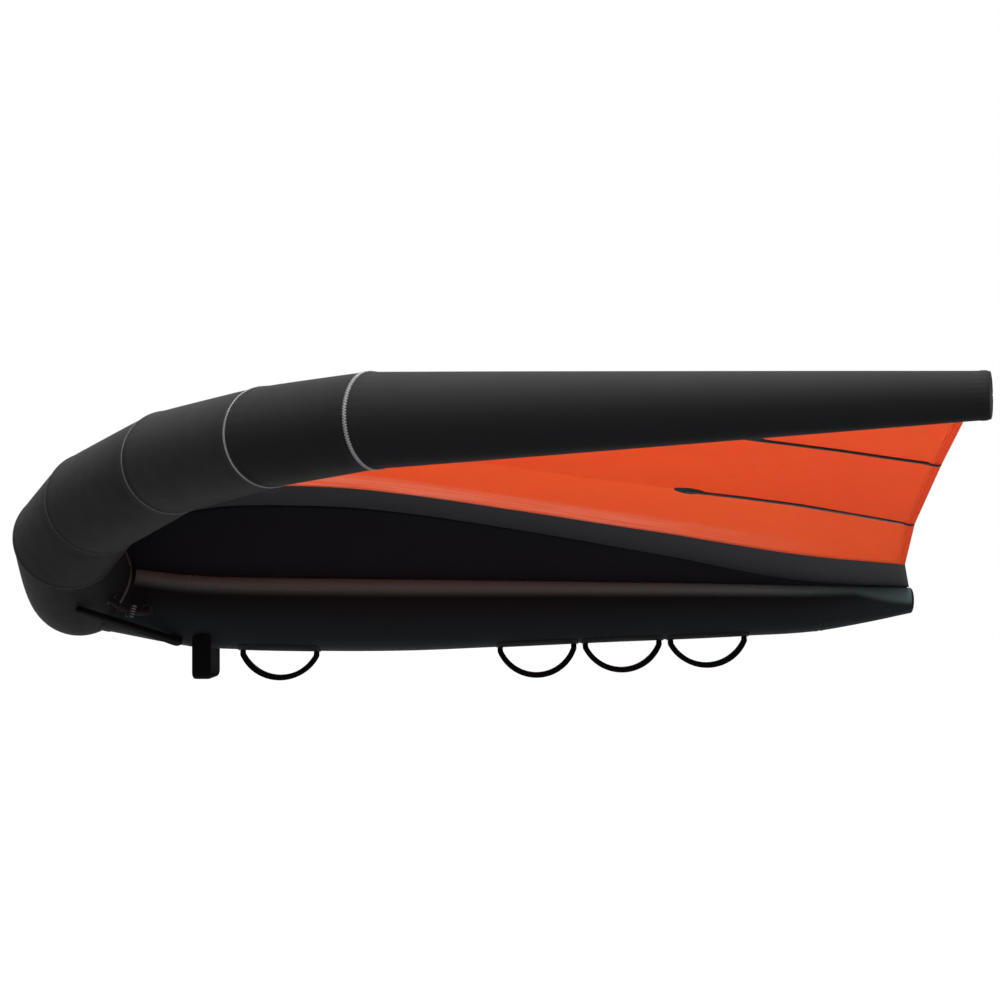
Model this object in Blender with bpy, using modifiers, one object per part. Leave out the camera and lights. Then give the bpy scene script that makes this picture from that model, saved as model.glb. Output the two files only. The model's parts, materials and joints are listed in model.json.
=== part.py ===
"""Inflatable hand-held wing for foil boards, modelled as its separate sewn, moulded and inflated pieces.

Frame: +X runs rearward along the strut, +Y to the right tip, +Z up. The origin is the middle of the
grip of the second loop handle, where a rider's rear hand holds the wing. All lengths are metres.
"""

import functools
import math

import bmesh
import bpy
import numpy as np
from mathutils import Matrix, Vector

# Leading edge tube, from its centre ring to the ring at the tip
NOSE_AXIS_X = -0.984
LE_SWEEP = 1.570
TIP_AXIS_Y = 1.592
LE_RISE = 0.268
ROOT_RADIUS = 0.1127
TIP_RADIUS = 0.0330
TIP_CAP_DEPTH = 0.0065
CAP_EDGE_SHARE = 0.45
CAP_EDGE_STEPS = 3
LE_SWEEP_SHARES = (0.0, 0.017, 0.083, 0.211, 0.346, 0.457, 1.0)
LE_SPAN_SHARES = (0.0, 0.153, 0.286, 0.506, 0.735, 0.842, 1.0)
LE_RISE_SHARES = (0.0, 0.343, 0.589, 0.814, 0.8915, 0.941, 1.0)
LE_RADIUS_SHARES = (1.0, 0.9235, 0.8457, 0.7136, 0.5711, 0.4868, 0.0)
NOSE_STATION_SHARES = (0.4,)
NOSE_CURVE_POWER_SHARE = 1.15
TUBE_SIDES = 20

# Fabric, bladder film and the gaps between sewn pieces
CASING_WALL = 0.001
BLADDER_WALL = 0.0008
BLADDER_GAP = 0.0005
DOME_SHARE = 0.55
CLOTH = 0.001
SEAM_GAP = 0.0006
TOUCH_GAP = 0.0003

# Centre strut
STRUT_LENGTH = 1.793
STRUT_RADIUS = 0.078
STRUT_DROP = 0.0686
STRUT_CAP_DEPTH = 0.008
STRUT_BLADDER_START_SHARE = 0.078
STRUT_BLADDER_END_SHARE = 0.985
STRUT_STATION_SHARES = (0.02, 0.0573, 0.1369, 0.2, 0.2659, 0.3864, 0.5069, 0.62, 0.78, 0.8865,
                        0.9467, 0.995)
STRUT_RADIUS_SHARES = (0.90, 0.923, 0.980, 0.995, 1.0, 0.982, 0.910, 0.831, 0.722, 0.615,
                       0.481, 0.353)
STRUT_DROP_SHARES = (0.40, 0.564, 0.870, 0.948, 0.980, 1.0, 0.956, 0.905, 0.847, 0.790,
                     0.666, 0.541)
STRUT_PANEL_RINGS = ((0, 2), (2, 9), (9, 11))
COLLAR_WIDTH = 0.012

# Canopy, its centre strip and trailing edge
CANOPY_ROOT_ANGLE = math.radians(60)
CANOPY_TIP_ANGLE = math.radians(30)
CANOPY_SEAT_GAP = 0.0009
CENTRE_STRIP_HALF = 0.118
CANOPY_END_SHARE = 0.9642
TRAIL_ROOT_MARGIN = 0.0094
TRAIL_SWEEP = 0.2276
TRAIL_RISE = 0.296
TRAIL_CLEARANCE = 0.0015
TRAIL_SPAN_SHARES = (0.0, 0.0741, 0.2513, 0.6595, 0.8794, 0.9642)
TRAIL_SWEEP_SHARES = (0.0, 0.1415, 0.305, 0.699, 0.903, 1.0)
TRAIL_RISE_SHARES = (0.0, 0.161, 0.430, 0.712, 0.852, 1.0)
CAMBER_CHORD_SHARES = (0.0, 0.06, 0.125, 0.241, 0.31, 0.37, 0.51, 0.692, 0.874, 1.0)
CAMBER_SHARES = (0.0, 0.026, 0.0437, 0.0545, 0.0560, 0.0535, 0.0414, 0.0208, -0.001, 0.0)
REAR_FULL_CHORD_SHARES = (0.0, 0.62, 0.73, 0.80, 0.86, 0.93, 1.0)
REAR_FULL_SHARES = (0.0, 0.0, 0.50, 0.88, 1.0, 0.60, 0.0)
REAR_FULL_SPAN_SHARES = (0.0, 0.0054, 0.0150, 0.0095, 0.0070, 0.0060)
TIP_CAMBER_SHARE = 0.55
HEM_WIDTH = 0.014
HEM_THICKNESS = 0.0024
CHORD_STEPS = 17
CHORD_SPACING_SHARE = 1.25
SPAN_STEPS = 9

# Battens in their pockets, on the canopy's underside
BATTEN_SPAN_SHARES = (0.2513, 0.6595)
BATTEN_LENGTHS = (0.455, 0.330)
BATTEN_WIDTH = 0.010
BATTEN_THICKNESS = 0.002
POCKET_WIDTH = 0.020
POCKET_PATCH_WIDTH = 0.048
POCKET_PATCH_LENGTH = 0.062
BATTEN_REAR_MARGIN = 0.022

# Loop handles under the strut
FRONT_HANDLE_REACH = 0.553
REAR_HANDLE_PITCH = 0.183
HANDLE_SPAN = 0.158
HANDLE_DROP = 0.067
HANDLE_DROP_SHARES = (0.963, 1.045, 1.0, 0.970)
HANDLE_WIDTH = 0.038
HANDLE_TAB_RADIUS = 0.008
HANDLE_TAPER_SHARE = 0.36
HANDLE_THICKNESS = 0.0115
HANDLE_STEPS = 14
PATCH_MARGIN = 0.0035
PATCH_ANGLE_STEPS = 2
TAB_START_ANGLE = math.radians(8)
HANDLE_CLEARANCE = 0.0007

# Cross loop at the front of the strut
CROSS_LOOP_SETBACK = 0.2725
CROSS_LOOP_HALF = 0.0674
CROSS_LOOP_PIVOT_LIFT = 0.015
CROSS_LOOP_DROP = 0.0805
CROSS_LOOP_WIDTH = 0.040
CROSS_LOOP_THICKNESS = 0.003
CROSS_LOOP_CORNER = 0.012
ANCHOR_RADIUS = 0.011

# Straps from the nose to the strut
NOSE_STRAP_STATION_SHARE = 0.66
NOSE_STRAP_LE_ANGLE = math.radians(-85)
NOSE_STRAP_REAR_SHARE = 0.1265
NOSE_STRAP_STRUT_ANGLE = math.radians(-57)
NOSE_STRAP_FRONT_WIDTH = 0.016
NOSE_STRAP_REAR_WIDTH = 0.024
NOSE_STRAP_THICKNESS = 0.010

# Valves
VALVE_STATION_SHARE = 0.66
VALVE_ANGLE = math.radians(-15)
STRUT_VALVE_SHARE = 0.106
STRUT_VALVE_ANGLE = math.radians(-15)
VALVE_FLANGE_RADIUS = 0.025
VALVE_FLANGE_HEIGHT = 0.003
VALVE_COLLAR_RADIUS = 0.017
VALVE_COLLAR_HEIGHT = 0.009
VALVE_NECK_RADIUS = 0.014
VALVE_NECK_DEPTH = 0.016
VALVE_BORE_RADIUS = 0.0115
FITTING_COLLAR_LIFT = 0.0009
FITTING_NECK_LIFT = 0.0015
INSERT_WALL = 0.002
INSERT_DEPTH = 0.012
CAP_THICKNESS = 0.004
CAP_LUG_LENGTH = 0.007
CAP_LUG_WIDTH = 0.012
STRUT_VALVE_SCALE_SHARE = 0.75

# Hose between the leading edge and the strut, with its pinch clip
HOSE_STATION_SHARE = 0.49
HOSE_ANGLE = math.radians(-45)
HOSE_STRUT_SHARE = 0.0885
HOSE_STRUT_ANGLE = math.radians(-7.5)
HOSE_RADIUS = 0.0065
HOSE_WALL = 0.0015
SPIGOT_RADIUS = 0.0043
HOSE_LEAD = 0.036
HOSE_POINTS = 13
FITTING_FLANGE_RADIUS = 0.013
FITTING_FLANGE_HEIGHT = 0.003
FITTING_NECK_RADIUS = 0.006
FITTING_NECK_DEPTH = 0.010
FITTING_BORE_RADIUS = 0.0032
SPIGOT_LENGTH = 0.008
CLIP_PLACE_SHARE = 0.42
CLIP_SIZE = 0.026
CLIP_WIDTH = 0.019
CLIP_DEPTH = 0.012
CLIP_EDGE = 0.0015
CLIP_BORE_GAP = 0.0014
LEVER_THICKNESS = 0.003
LEVER_LIP = 0.004

# Overrun of every cutter past the faces that it cuts, and the angles that count as edges
OVERRUN = 0.004
SMOOTH_ANGLE = math.radians(40)
BEVEL_ANGLE = math.radians(50)

NAMES = {1: "right", -1: "left"}

PARTS = None
CUTTERS = None
MATERIALS = {}


def new_collection(name):
    """Make a collection in the scene."""
    collection = bpy.data.collections.new(name)
    bpy.context.scene.collection.children.link(collection)
    return collection


def clear_scene():
    """Remove every object, mesh and curve that the file holds."""
    for obj in list(bpy.data.objects):
        bpy.data.objects.remove(obj)
    for kept in (bpy.data.meshes, bpy.data.curves, bpy.data.materials, bpy.data.collections):
        for item in list(kept):
            kept.remove(item)


def material(name, colour, roughness, metallic=0.0):
    """Return a Principled material of one colour, made once."""
    if name not in MATERIALS:
        made = bpy.data.materials.new(name)
        made.use_nodes = True
        shader = made.node_tree.nodes["Principled BSDF"]
        shader.inputs["Base Color"].default_value = (*colour, 1.0)
        shader.inputs["Roughness"].default_value = roughness
        shader.inputs["Metallic"].default_value = metallic
        MATERIALS[name] = made
    return MATERIALS[name]


def finish_material(kind):
    """Return the material of one kind of piece."""
    finishes = {
        "casing": ((0.022, 0.022, 0.024), 0.62),
        "bladder": ((0.62, 0.64, 0.66), 0.35),
        "strut": ((0.012, 0.012, 0.014), 0.60),
        "web": ((0.006, 0.006, 0.007), 0.75),
        "canopy": ((0.70, 0.068, 0.023), 0.55),
        "strip": ((0.022, 0.022, 0.024), 0.65),
        "hem": ((0.60, 0.060, 0.022), 0.60),
        "batten": ((0.030, 0.032, 0.034), 0.40),
        "pocket": ((0.020, 0.042, 0.044), 0.60),
        "webbing": ((0.003, 0.003, 0.003), 0.80),
        "patch": ((0.014, 0.014, 0.016), 0.70),
        "collar": ((0.060, 0.060, 0.062), 0.60),
        "plastic": ((0.018, 0.018, 0.020), 0.40),
        "clip": ((0.120, 0.120, 0.125), 0.40),
        "hose": ((0.030, 0.030, 0.032), 0.45),
    }
    colour, roughness = finishes[kind]
    return material(kind, colour, roughness)


def place(obj, kind=None, cutter=False):
    """Link an object as a part with its material, or as a hidden cutter."""
    for collection in list(obj.users_collection):
        collection.objects.unlink(obj)
    if cutter:
        CUTTERS.objects.link(obj)
        obj.hide_render = True
        obj.display_type = "WIRE"
        return obj
    PARTS.objects.link(obj)
    obj.data.materials.clear()
    obj.data.materials.append(finish_material(kind))
    return obj


def mesh_object(name, points, faces, kind=None, cutter=False, smooth=False):
    """Make a mesh object from points and faces."""
    mesh = bpy.data.meshes.new(name)
    mesh.from_pydata([tuple(p) for p in points], [], faces)
    mesh.update()
    obj = bpy.data.objects.new(name, mesh)
    place(obj, kind, cutter)
    if smooth:
        mesh.shade_smooth()
        mesh.set_sharp_from_angle(angle=SMOOTH_ANGLE)
    return obj


def solidify(obj, thickness, offset):
    """Give an open surface its wall; offset 1 adds it outside, -1 inside."""
    modifier = obj.modifiers.new("wall", "SOLIDIFY")
    modifier.thickness = thickness
    modifier.offset = offset


def boolean(obj, cutter, operation="DIFFERENCE"):
    """Cut an object with another, or join them."""
    modifier = obj.modifiers.new(operation.lower(), "BOOLEAN")
    modifier.operation = operation
    modifier.object = cutter
    modifier.solver = "EXACT"


def bevel(obj, width, segments=2):
    """Round the sharp edges of an object."""
    modifier = obj.modifiers.new("edges", "BEVEL")
    modifier.width = width
    modifier.segments = segments
    modifier.limit_method = "ANGLE"
    modifier.angle_limit = BEVEL_ANGLE


def unit(vector):
    """Return a vector of length one."""
    vector = np.asarray(vector, float)
    return vector / np.linalg.norm(vector)


def mirrored(point, side):
    """Return a point of the right half, or its mirror on the left half."""
    return np.array([point[0], side * point[1], point[2]])


def smooth_curve(x, xs, ys):
    """Return a smooth curve through table points: cubic pieces with averaged slopes."""
    xs = np.asarray(xs, float)
    ys = np.asarray(ys, float)
    slopes = np.gradient(ys, xs)
    x = np.clip(np.asarray(x, float), xs[0], xs[-1])
    k = np.clip(np.searchsorted(xs, x, side="right") - 1, 0, len(xs) - 2)
    step = xs[k + 1] - xs[k]
    t = (x - xs[k]) / step
    rise = ys[k] * (2 * t**3 - 3 * t**2 + 1) + ys[k + 1] * (3 * t**2 - 2 * t**3)
    return rise + step * (slopes[k] * (t**3 - 2 * t**2 + t) + slopes[k + 1] * (t**3 - t**2))


def frame_matrix(origin, normal, hint):
    """Return a matrix whose z axis is the normal and whose x axis lies near the hint."""
    z = unit(normal)
    x = unit(np.asarray(hint, float) - np.dot(hint, z) * z)
    y = np.cross(z, x)
    matrix = Matrix.Identity(4)
    for row in range(3):
        matrix[row][0], matrix[row][1], matrix[row][2] = x[row], y[row], z[row]
        matrix[row][3] = origin[row]
    return matrix


# Strut


def strut_x(share):
    """Return the place along X of a share of the strut's length."""
    return NOSE_AXIS_X + STRUT_LENGTH * share


def strut_share(x):
    """Return the share of the strut's length at a place along X."""
    return (x - NOSE_AXIS_X) / STRUT_LENGTH


def strut_radius(x):
    """Return the strut's outer radius at a place along X."""
    return STRUT_RADIUS * float(np.interp(strut_share(x), STRUT_STATION_SHARES, STRUT_RADIUS_SHARES))


def strut_drop(x):
    """Return how far the strut's axis lies below the leading edge's centre."""
    return STRUT_DROP * float(np.interp(strut_share(x), STRUT_STATION_SHARES, STRUT_DROP_SHARES))


# The grip of the second handle is at height zero, so the tube's height follows from what is between
NOSE_AXIS_Z = (strut_drop(0.0) + strut_radius(0.0) + HANDLE_DROP * HANDLE_DROP_SHARES[1]
               - HANDLE_THICKNESS / 2)


def strut_axis_z(x):
    """Return the height of the strut's axis at a place along X."""
    return NOSE_AXIS_Z - strut_drop(x)


def strut_point(x, angle, offset=0.0):
    """Return a point on the strut: angle 0 faces +Y, and -90 degrees faces down."""
    radius = strut_radius(x) + offset
    return np.array([x, radius * math.cos(angle), strut_axis_z(x) + radius * math.sin(angle)])


def strut_ring(x, offset=0.0):
    """Return the points of one ring of the strut."""
    angles = np.arange(TUBE_SIDES) * 2 * math.pi / TUBE_SIDES
    return np.array([strut_point(x, angle, offset) for angle in angles])


# Leading edge


def le_centre(station):
    """Return the tube's centre on the right half; stations count its rings from the centre plane."""
    stations = np.arange(len(LE_SPAN_SHARES))
    rise_share = float(np.interp(station, stations, LE_RISE_SHARES))
    if station < 1:
        rise_share = LE_RISE_SHARES[1] * max(station, 0.0) ** NOSE_CURVE_POWER_SHARE
    return np.array([
        NOSE_AXIS_X + LE_SWEEP * float(np.interp(station, stations, LE_SWEEP_SHARES)),
        TIP_AXIS_Y * float(np.interp(station, stations, LE_SPAN_SHARES)),
        NOSE_AXIS_Z + LE_RISE * rise_share,
    ])


def le_radius(station):
    """Return the tube's outer radius at a station."""
    share = float(np.interp(station, np.arange(len(LE_RADIUS_SHARES)), LE_RADIUS_SHARES))
    return TIP_RADIUS + (ROOT_RADIUS - TIP_RADIUS) * share


def le_knots():
    """Return the stations of the tube's rings on one half, with those that round the nose."""
    return [0.0, *NOSE_STATION_SHARES, *range(1, len(LE_SPAN_SHARES))]


def le_ring_normal(index):
    """Return the direction of the tube at a knot: halfway between the stretches that meet there."""
    knots = le_knots()
    here = le_centre(knots[index])
    if index == 0:
        return np.array([0.0, 1.0, 0.0])
    before = unit(here - le_centre(knots[index - 1]))
    if index == len(knots) - 1:
        return before
    after = unit(le_centre(knots[index + 1]) - here)
    return unit(before + after)


def le_knot_frame(index):
    """Return the tube's centre, radius, direction, rearward side and upper side at a knot."""
    knot = le_knots()[index]
    along = le_ring_normal(index)
    up = unit(np.array([0.0, 0.0, 1.0]) - along[2] * along)
    return le_centre(knot), le_radius(knot), along, np.cross(along, up), up


def le_stretch(station):
    """Return the knot before a station and the share of the stretch up to it."""
    knots = le_knots()
    index = min(int(np.searchsorted(knots, station, side="right")) - 1, len(knots) - 2)
    return index, (station - knots[index]) / (knots[index + 1] - knots[index])


def le_direction(index, angle):
    """Return the outward direction at a knot: angle 0 faces rearward and 90 degrees faces up."""
    _, _, _, rear, up = le_knot_frame(index)
    return math.cos(angle) * rear + math.sin(angle) * up


def le_point(station, angle, offset=0.0):
    """Return a point on the tube's right half, on the straight line between its rings."""
    index, share = le_stretch(station)
    ends = []
    for knot in (index, index + 1):
        centre, radius, _, _, _ = le_knot_frame(knot)
        ends.append(centre + (radius + offset) * le_direction(knot, angle))
    return ends[0] + (ends[1] - ends[0]) * share


def le_normal(station, angle):
    """Return the outward direction of the tube at a point of its right half."""
    index, share = le_stretch(station)
    outward = le_direction(index, angle) * (1 - share) + le_direction(index + 1, angle) * share
    along = unit(le_point(le_knots()[index + 1], angle) - le_point(le_knots()[index], angle))
    return unit(outward - np.dot(outward, along) * along)


def le_ring(index, side, offset=0.0, shift=0.0):
    """Return the ring of the tube at a knot, moved along the tube by shift."""
    centre, radius, along, rear, up = le_knot_frame(index)
    angles = np.arange(TUBE_SIDES) * 2 * math.pi / TUBE_SIDES
    circle = np.cos(angles)[:, None] * rear + np.sin(angles)[:, None] * up
    points = centre + along * shift + (radius + offset) * circle
    points[:, 1] *= side
    return points


def le_span(start, end, offset=0.0, trim=0.0):
    """Return rings between two signed stations that are knots, left tip to right tip."""
    knots = le_knots()
    signed = sorted({side * knot for knot in knots for side in (1, -1)})
    rings = []
    for knot in signed:
        if start <= knot <= end:
            side = -1 if knot < 0 else 1
            shift = trim if knot == start else -trim if knot == end else 0.0
            rings.append(le_ring(knots.index(abs(knot)), side, offset, shift * side))
    return rings


def tube(name, rings, kind=None, closed=False, cutter=False, flip=False):
    """Loft a tube through rings of equal counts, open or with its ends closed."""
    count = len(rings[0])
    points = [point for ring in rings for point in ring]
    faces = []
    for row in range(len(rings) - 1):
        for column in range(count):
            following = (column + 1) % count
            here, beside = row * count + column, row * count + following
            for face in ((here, here + count, beside + count), (here, beside + count, beside)):
                faces.append(face[::-1] if flip else face)
    if closed:
        last = (len(rings) - 1) * count
        start = tuple(range(count))
        end = tuple(last + column for column in reversed(range(count)))
        faces += [start[::-1], end[::-1]] if flip else [start, end]
    return mesh_object(name, points, faces, kind, cutter, smooth=True)


def cylinder(name, radius, low, high, matrix, kind=None, cutter=False, sides=TUBE_SIDES):
    """Make a cylinder along its local z axis from low to high."""
    bm = bmesh.new()
    bmesh.ops.create_cone(bm, cap_ends=True, segments=sides, radius1=radius, radius2=radius,
                          depth=high - low)
    bmesh.ops.translate(bm, verts=bm.verts, vec=(0, 0, (high + low) / 2))
    mesh = bpy.data.meshes.new(name)
    bm.to_mesh(mesh)
    bm.free()
    mesh.shade_smooth()
    mesh.set_sharp_from_angle(angle=SMOOTH_ANGLE)
    obj = bpy.data.objects.new(name, mesh)
    obj.matrix_world = matrix
    return place(obj, kind, cutter)


def block(name, sizes, centre, matrix, kind=None, cutter=False):
    """Make a box of the given sizes about a local centre."""
    bm = bmesh.new()
    bmesh.ops.create_cube(bm, size=1.0)
    bmesh.ops.scale(bm, verts=bm.verts, vec=sizes)
    bmesh.ops.translate(bm, verts=bm.verts, vec=centre)
    mesh = bpy.data.meshes.new(name)
    bm.to_mesh(mesh)
    bm.free()
    obj = bpy.data.objects.new(name, mesh)
    obj.matrix_world = matrix
    return place(obj, kind, cutter)


def end_cap(name, radius, depth, matrix, kind):
    """Make the cap that closes a tube's end, with a square inner rim and a rounded outer one."""
    edge = depth * CAP_EDGE_SHARE
    profile = [(radius, SEAM_GAP / 2)]
    for step in range(CAP_EDGE_STEPS + 1):
        angle = math.pi / 2 * step / CAP_EDGE_STEPS
        profile.append((radius - edge * (1 - math.cos(angle)), depth - edge * (1 - math.sin(angle))))
    angles = np.arange(TUBE_SIDES) * 2 * math.pi / TUBE_SIDES
    rings = [[matrix @ Vector((reach * math.cos(angle), reach * math.sin(angle), height))
              for angle in angles] for reach, height in profile]
    return tube(name, rings, kind, closed=True, flip=True)


def valve_frame():
    """Return the place and direction of the inflation valve, on the right of the nose."""
    return le_point(VALVE_STATION_SHARE, VALVE_ANGLE), le_normal(VALVE_STATION_SHARE, VALVE_ANGLE)


def strut_valve_frame():
    """Return the place and direction of the strut's dump valve, on its right side."""
    x = strut_x(STRUT_VALVE_SHARE)
    normal = np.array([0.0, math.cos(STRUT_VALVE_ANGLE), math.sin(STRUT_VALVE_ANGLE)])
    return strut_point(x, STRUT_VALVE_ANGLE), normal


def hose_le_frame():
    """Return the place and direction of the hose's fitting on the leading edge, on the left."""
    point = mirrored(le_point(HOSE_STATION_SHARE, HOSE_ANGLE), -1)
    return point, mirrored(le_normal(HOSE_STATION_SHARE, HOSE_ANGLE), -1)


def hose_strut_frame():
    """Return the place and direction of the hose's fitting on the strut's left side."""
    x = strut_x(HOSE_STRUT_SHARE)
    normal = np.array([0.0, -math.cos(HOSE_STRUT_ANGLE), math.sin(HOSE_STRUT_ANGLE)])
    return mirrored(strut_point(x, HOSE_STRUT_ANGLE), -1), normal


def hole_cutter(name, frame, radius):
    """Make a cutter for the hole that a fitting's neck passes through."""
    point, normal = frame
    matrix = frame_matrix(point, normal, (0.0, 0.0, 1.0))
    depth = CASING_WALL + BLADDER_WALL + BLADDER_GAP
    return cylinder(name, radius + TOUCH_GAP, -depth - OVERRUN, OVERRUN, matrix, cutter=True)


def make_cutters():
    """Make the cutters that several pieces share."""
    cutters = {
        "valve": hole_cutter("cut_valve_hole", valve_frame(), VALVE_NECK_RADIUS),
        "strut_valve": hole_cutter("cut_strut_valve_hole", strut_valve_frame(),
                                   VALVE_NECK_RADIUS * STRUT_VALVE_SCALE_SHARE),
        "hose_le": hole_cutter("cut_hose_le_hole", hose_le_frame(), FITTING_NECK_RADIUS),
        "hose_strut": hole_cutter("cut_hose_strut_hole", hose_strut_frame(), FITTING_NECK_RADIUS),
    }
    root_span = (-2.0, 2.0)
    cutters["le"] = tube("cut_le", le_span(*root_span, offset=TOUCH_GAP), closed=True, cutter=True)
    cutters["le_wide"] = tube("cut_le_wide", le_span(*root_span, offset=COLLAR_WIDTH), closed=True,
                              cutter=True)
    rings = [strut_ring(strut_x(share), TOUCH_GAP) for share in STRUT_STATION_SHARES]
    cutters["strut"] = tube("cut_strut", rings, closed=True, cutter=True, flip=True)
    return cutters


def make_leading_edge(cutters):
    """Make the sewn panels of the tube, the caps that close its tips, and the bladder inside."""
    last = len(LE_SPAN_SHARES) - 1
    panels = [("le_panel_centre", -1.0, 1.0)]
    for side, name in NAMES.items():
        for ring in range(1, last):
            ends = sorted((side * ring, side * (ring + 1)))
            panels.append((f"le_panel_{name}_{ring}", *map(float, ends)))
    for name, start, end in panels:
        panel = tube(name, le_span(start, end, trim=SEAM_GAP / 2), "casing")
        solidify(panel, CASING_WALL, -1)
        if name == "le_panel_centre":
            boolean(panel, cutters["valve"])
            boolean(panel, cutters["hose_le"])
    for side, name in NAMES.items():
        centre, radius, along, _, up = le_knot_frame(len(le_knots()) - 1)
        matrix = frame_matrix(mirrored(centre, side), mirrored(along, side), mirrored(up, side))
        end_cap(f"le_tip_cap_{name}", radius, TIP_CAP_DEPTH, matrix, "casing")

    inset = CASING_WALL + BLADDER_GAP
    rings = le_span(-float(last), float(last), offset=-inset, trim=TIP_RADIUS / 2)
    rings = [dome_ring(rings[0], rings[1]), *rings, dome_ring(rings[-1], rings[-2])]
    bladder = tube("le_bladder", rings, "bladder", closed=True)
    solidify(bladder, BLADDER_WALL, -1)
    boolean(bladder, cutters["valve"])
    boolean(bladder, cutters["hose_le"])


def dome_ring(end, before):
    """Return a smaller ring past the end of a bladder, so that its end is rounded."""
    centre = end.mean(axis=0)
    radius = np.linalg.norm(end[0] - centre)
    along = unit(centre - before.mean(axis=0))
    return centre + (end - centre) * DOME_SHARE + along * radius * DOME_SHARE / 2


def make_strut(cutters):
    """Make the strut's three casing panels, its tail cap, the collar at the nose and the bladder."""
    names = ("strut_panel_front", "strut_panel_main", "strut_panel_tail")
    for name, (first, final) in zip(names, STRUT_PANEL_RINGS):
        places = [strut_x(share) for share in STRUT_STATION_SHARES[first:final + 1]]
        places[0] += SEAM_GAP / 2
        places[-1] -= SEAM_GAP / 2
        panel = tube(name, [strut_ring(x) for x in places], "strut", flip=True)
        solidify(panel, CASING_WALL, -1)
        if first == 0:
            boolean(panel, cutters["le"])
            boolean(panel, cutters["strut_valve"])
            boolean(panel, cutters["hose_strut"])

    tail = strut_x(STRUT_STATION_SHARES[-1])
    matrix = frame_matrix((tail, 0.0, strut_axis_z(tail)), (1.0, 0.0, 0.0), (0.0, 0.0, 1.0))
    end_cap("strut_tail_cap", strut_radius(tail), STRUT_CAP_DEPTH, matrix, "strut")

    rings = [strut_ring(strut_x(share), TOUCH_GAP) for share in STRUT_STATION_SHARES[:3]]
    collar = tube("strut_collar", rings, "collar", flip=True)
    solidify(collar, CASING_WALL, 1)
    boolean(collar, cutters["le_wide"], "INTERSECT")
    boolean(collar, cutters["le"])

    inset = CASING_WALL + BLADDER_GAP
    inner = [share for share in STRUT_STATION_SHARES
             if STRUT_BLADDER_START_SHARE < share < STRUT_BLADDER_END_SHARE]
    shares = [STRUT_BLADDER_START_SHARE, *inner, STRUT_BLADDER_END_SHARE]
    rings = [strut_ring(strut_x(share), -inset) for share in shares]
    rings = [dome_ring(rings[0], rings[1]), *rings, dome_ring(rings[-1], rings[-2])]
    bladder = tube("strut_bladder", rings, "bladder", closed=True, flip=True)
    solidify(bladder, BLADDER_WALL, -1)
    boolean(bladder, cutters["strut_valve"])
    boolean(bladder, cutters["hose_strut"])


# Canopy


def seat_point(station):
    """Return the point of the tube's seam where the canopy starts, lower down towards the tip."""
    share = station / (len(LE_SPAN_SHARES) - 1)
    angle = CANOPY_ROOT_ANGLE + (CANOPY_TIP_ANGLE - CANOPY_ROOT_ANGLE) * share
    return le_point(station, angle, CANOPY_SEAT_GAP)


@functools.cache
def seat_table():
    """Return stations along the tube and the span of the canopy's seam at each."""
    stations = np.linspace(0.0, len(LE_SPAN_SHARES) - 1, 601)
    return stations, [seat_point(station)[1] for station in stations]


def seat_station(y):
    """Return the tube's station whose seam point lies at a span."""
    stations, spans = seat_table()
    return float(np.interp(y, spans, stations))


def knot_spans():
    """Return the span of the canopy's seam at each of the tube's rings."""
    return [float(seat_point(knot)[1]) for knot in le_knots()]


def trail_point(y):
    """Return the trailing edge's point at a span: straight runs between the battens."""
    share = y / TIP_AXIS_Y
    root_x = NOSE_AXIS_X + STRUT_LENGTH - TRAIL_ROOT_MARGIN
    root_z = strut_axis_z(root_x) + strut_radius(root_x) + TRAIL_CLEARANCE
    return np.array([
        root_x - TRAIL_SWEEP * float(np.interp(share, TRAIL_SPAN_SHARES, TRAIL_SWEEP_SHARES)),
        y,
        root_z + TRAIL_RISE * float(np.interp(share, TRAIL_SPAN_SHARES, TRAIL_RISE_SHARES)),
    ])


def canopy_point(y, share, drop=0.0):
    """Return the canopy's middle surface at a span and a share of the chord, lowered by drop."""
    front = seat_point(seat_station(y))
    rear = trail_point(y)
    chord = np.linalg.norm(rear - front)
    fullness = 1 - (1 - TIP_CAMBER_SHARE) * y / TIP_AXIS_Y
    camber = fullness * float(smooth_curve(share, CAMBER_CHORD_SHARES, CAMBER_SHARES))
    rear_full = float(np.interp(y / TIP_AXIS_Y, TRAIL_SPAN_SHARES, REAR_FULL_SPAN_SHARES))
    camber += rear_full * float(smooth_curve(share, REAR_FULL_CHORD_SHARES, REAR_FULL_SHARES))
    return front + (rear - front) * share + np.array([0.0, 0.0, chord * camber - drop])


def chord_length(y):
    """Return the canopy's chord at a span."""
    front = seat_point(seat_station(y))
    return float(np.linalg.norm(trail_point(y) - front))


def grid_sheet(name, rows, kind, thickness):
    """Make a sheet from rows of points and give it its thickness about the middle surface."""
    width = len(rows[0])
    points = [point for row in rows for point in row]
    faces = []
    for row in range(len(rows) - 1):
        for column in range(width - 1):
            corner = row * width + column
            faces.append((corner, corner + 1, corner + width + 1, corner + width))
    sheet = mesh_object(name, points, faces, kind, smooth=True)
    solidify(sheet, thickness, 0)
    return sheet


def chord_shares(last):
    """Return shares along the chord, closer together near the nose."""
    return [last * (step / CHORD_STEPS) ** CHORD_SPACING_SHARE for step in range(CHORD_STEPS + 1)]


def canopy_row(y):
    """Return one chordwise row of the canopy's points, from the tube to the hem."""
    last = 1 - (HEM_WIDTH + SEAM_GAP) / chord_length(y)
    return [canopy_point(y, share) for share in chord_shares(last)]


def batten_spans():
    """Return the span of each batten's middle."""
    return [TIP_AXIS_Y * share for share in BATTEN_SPAN_SHARES]


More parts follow.
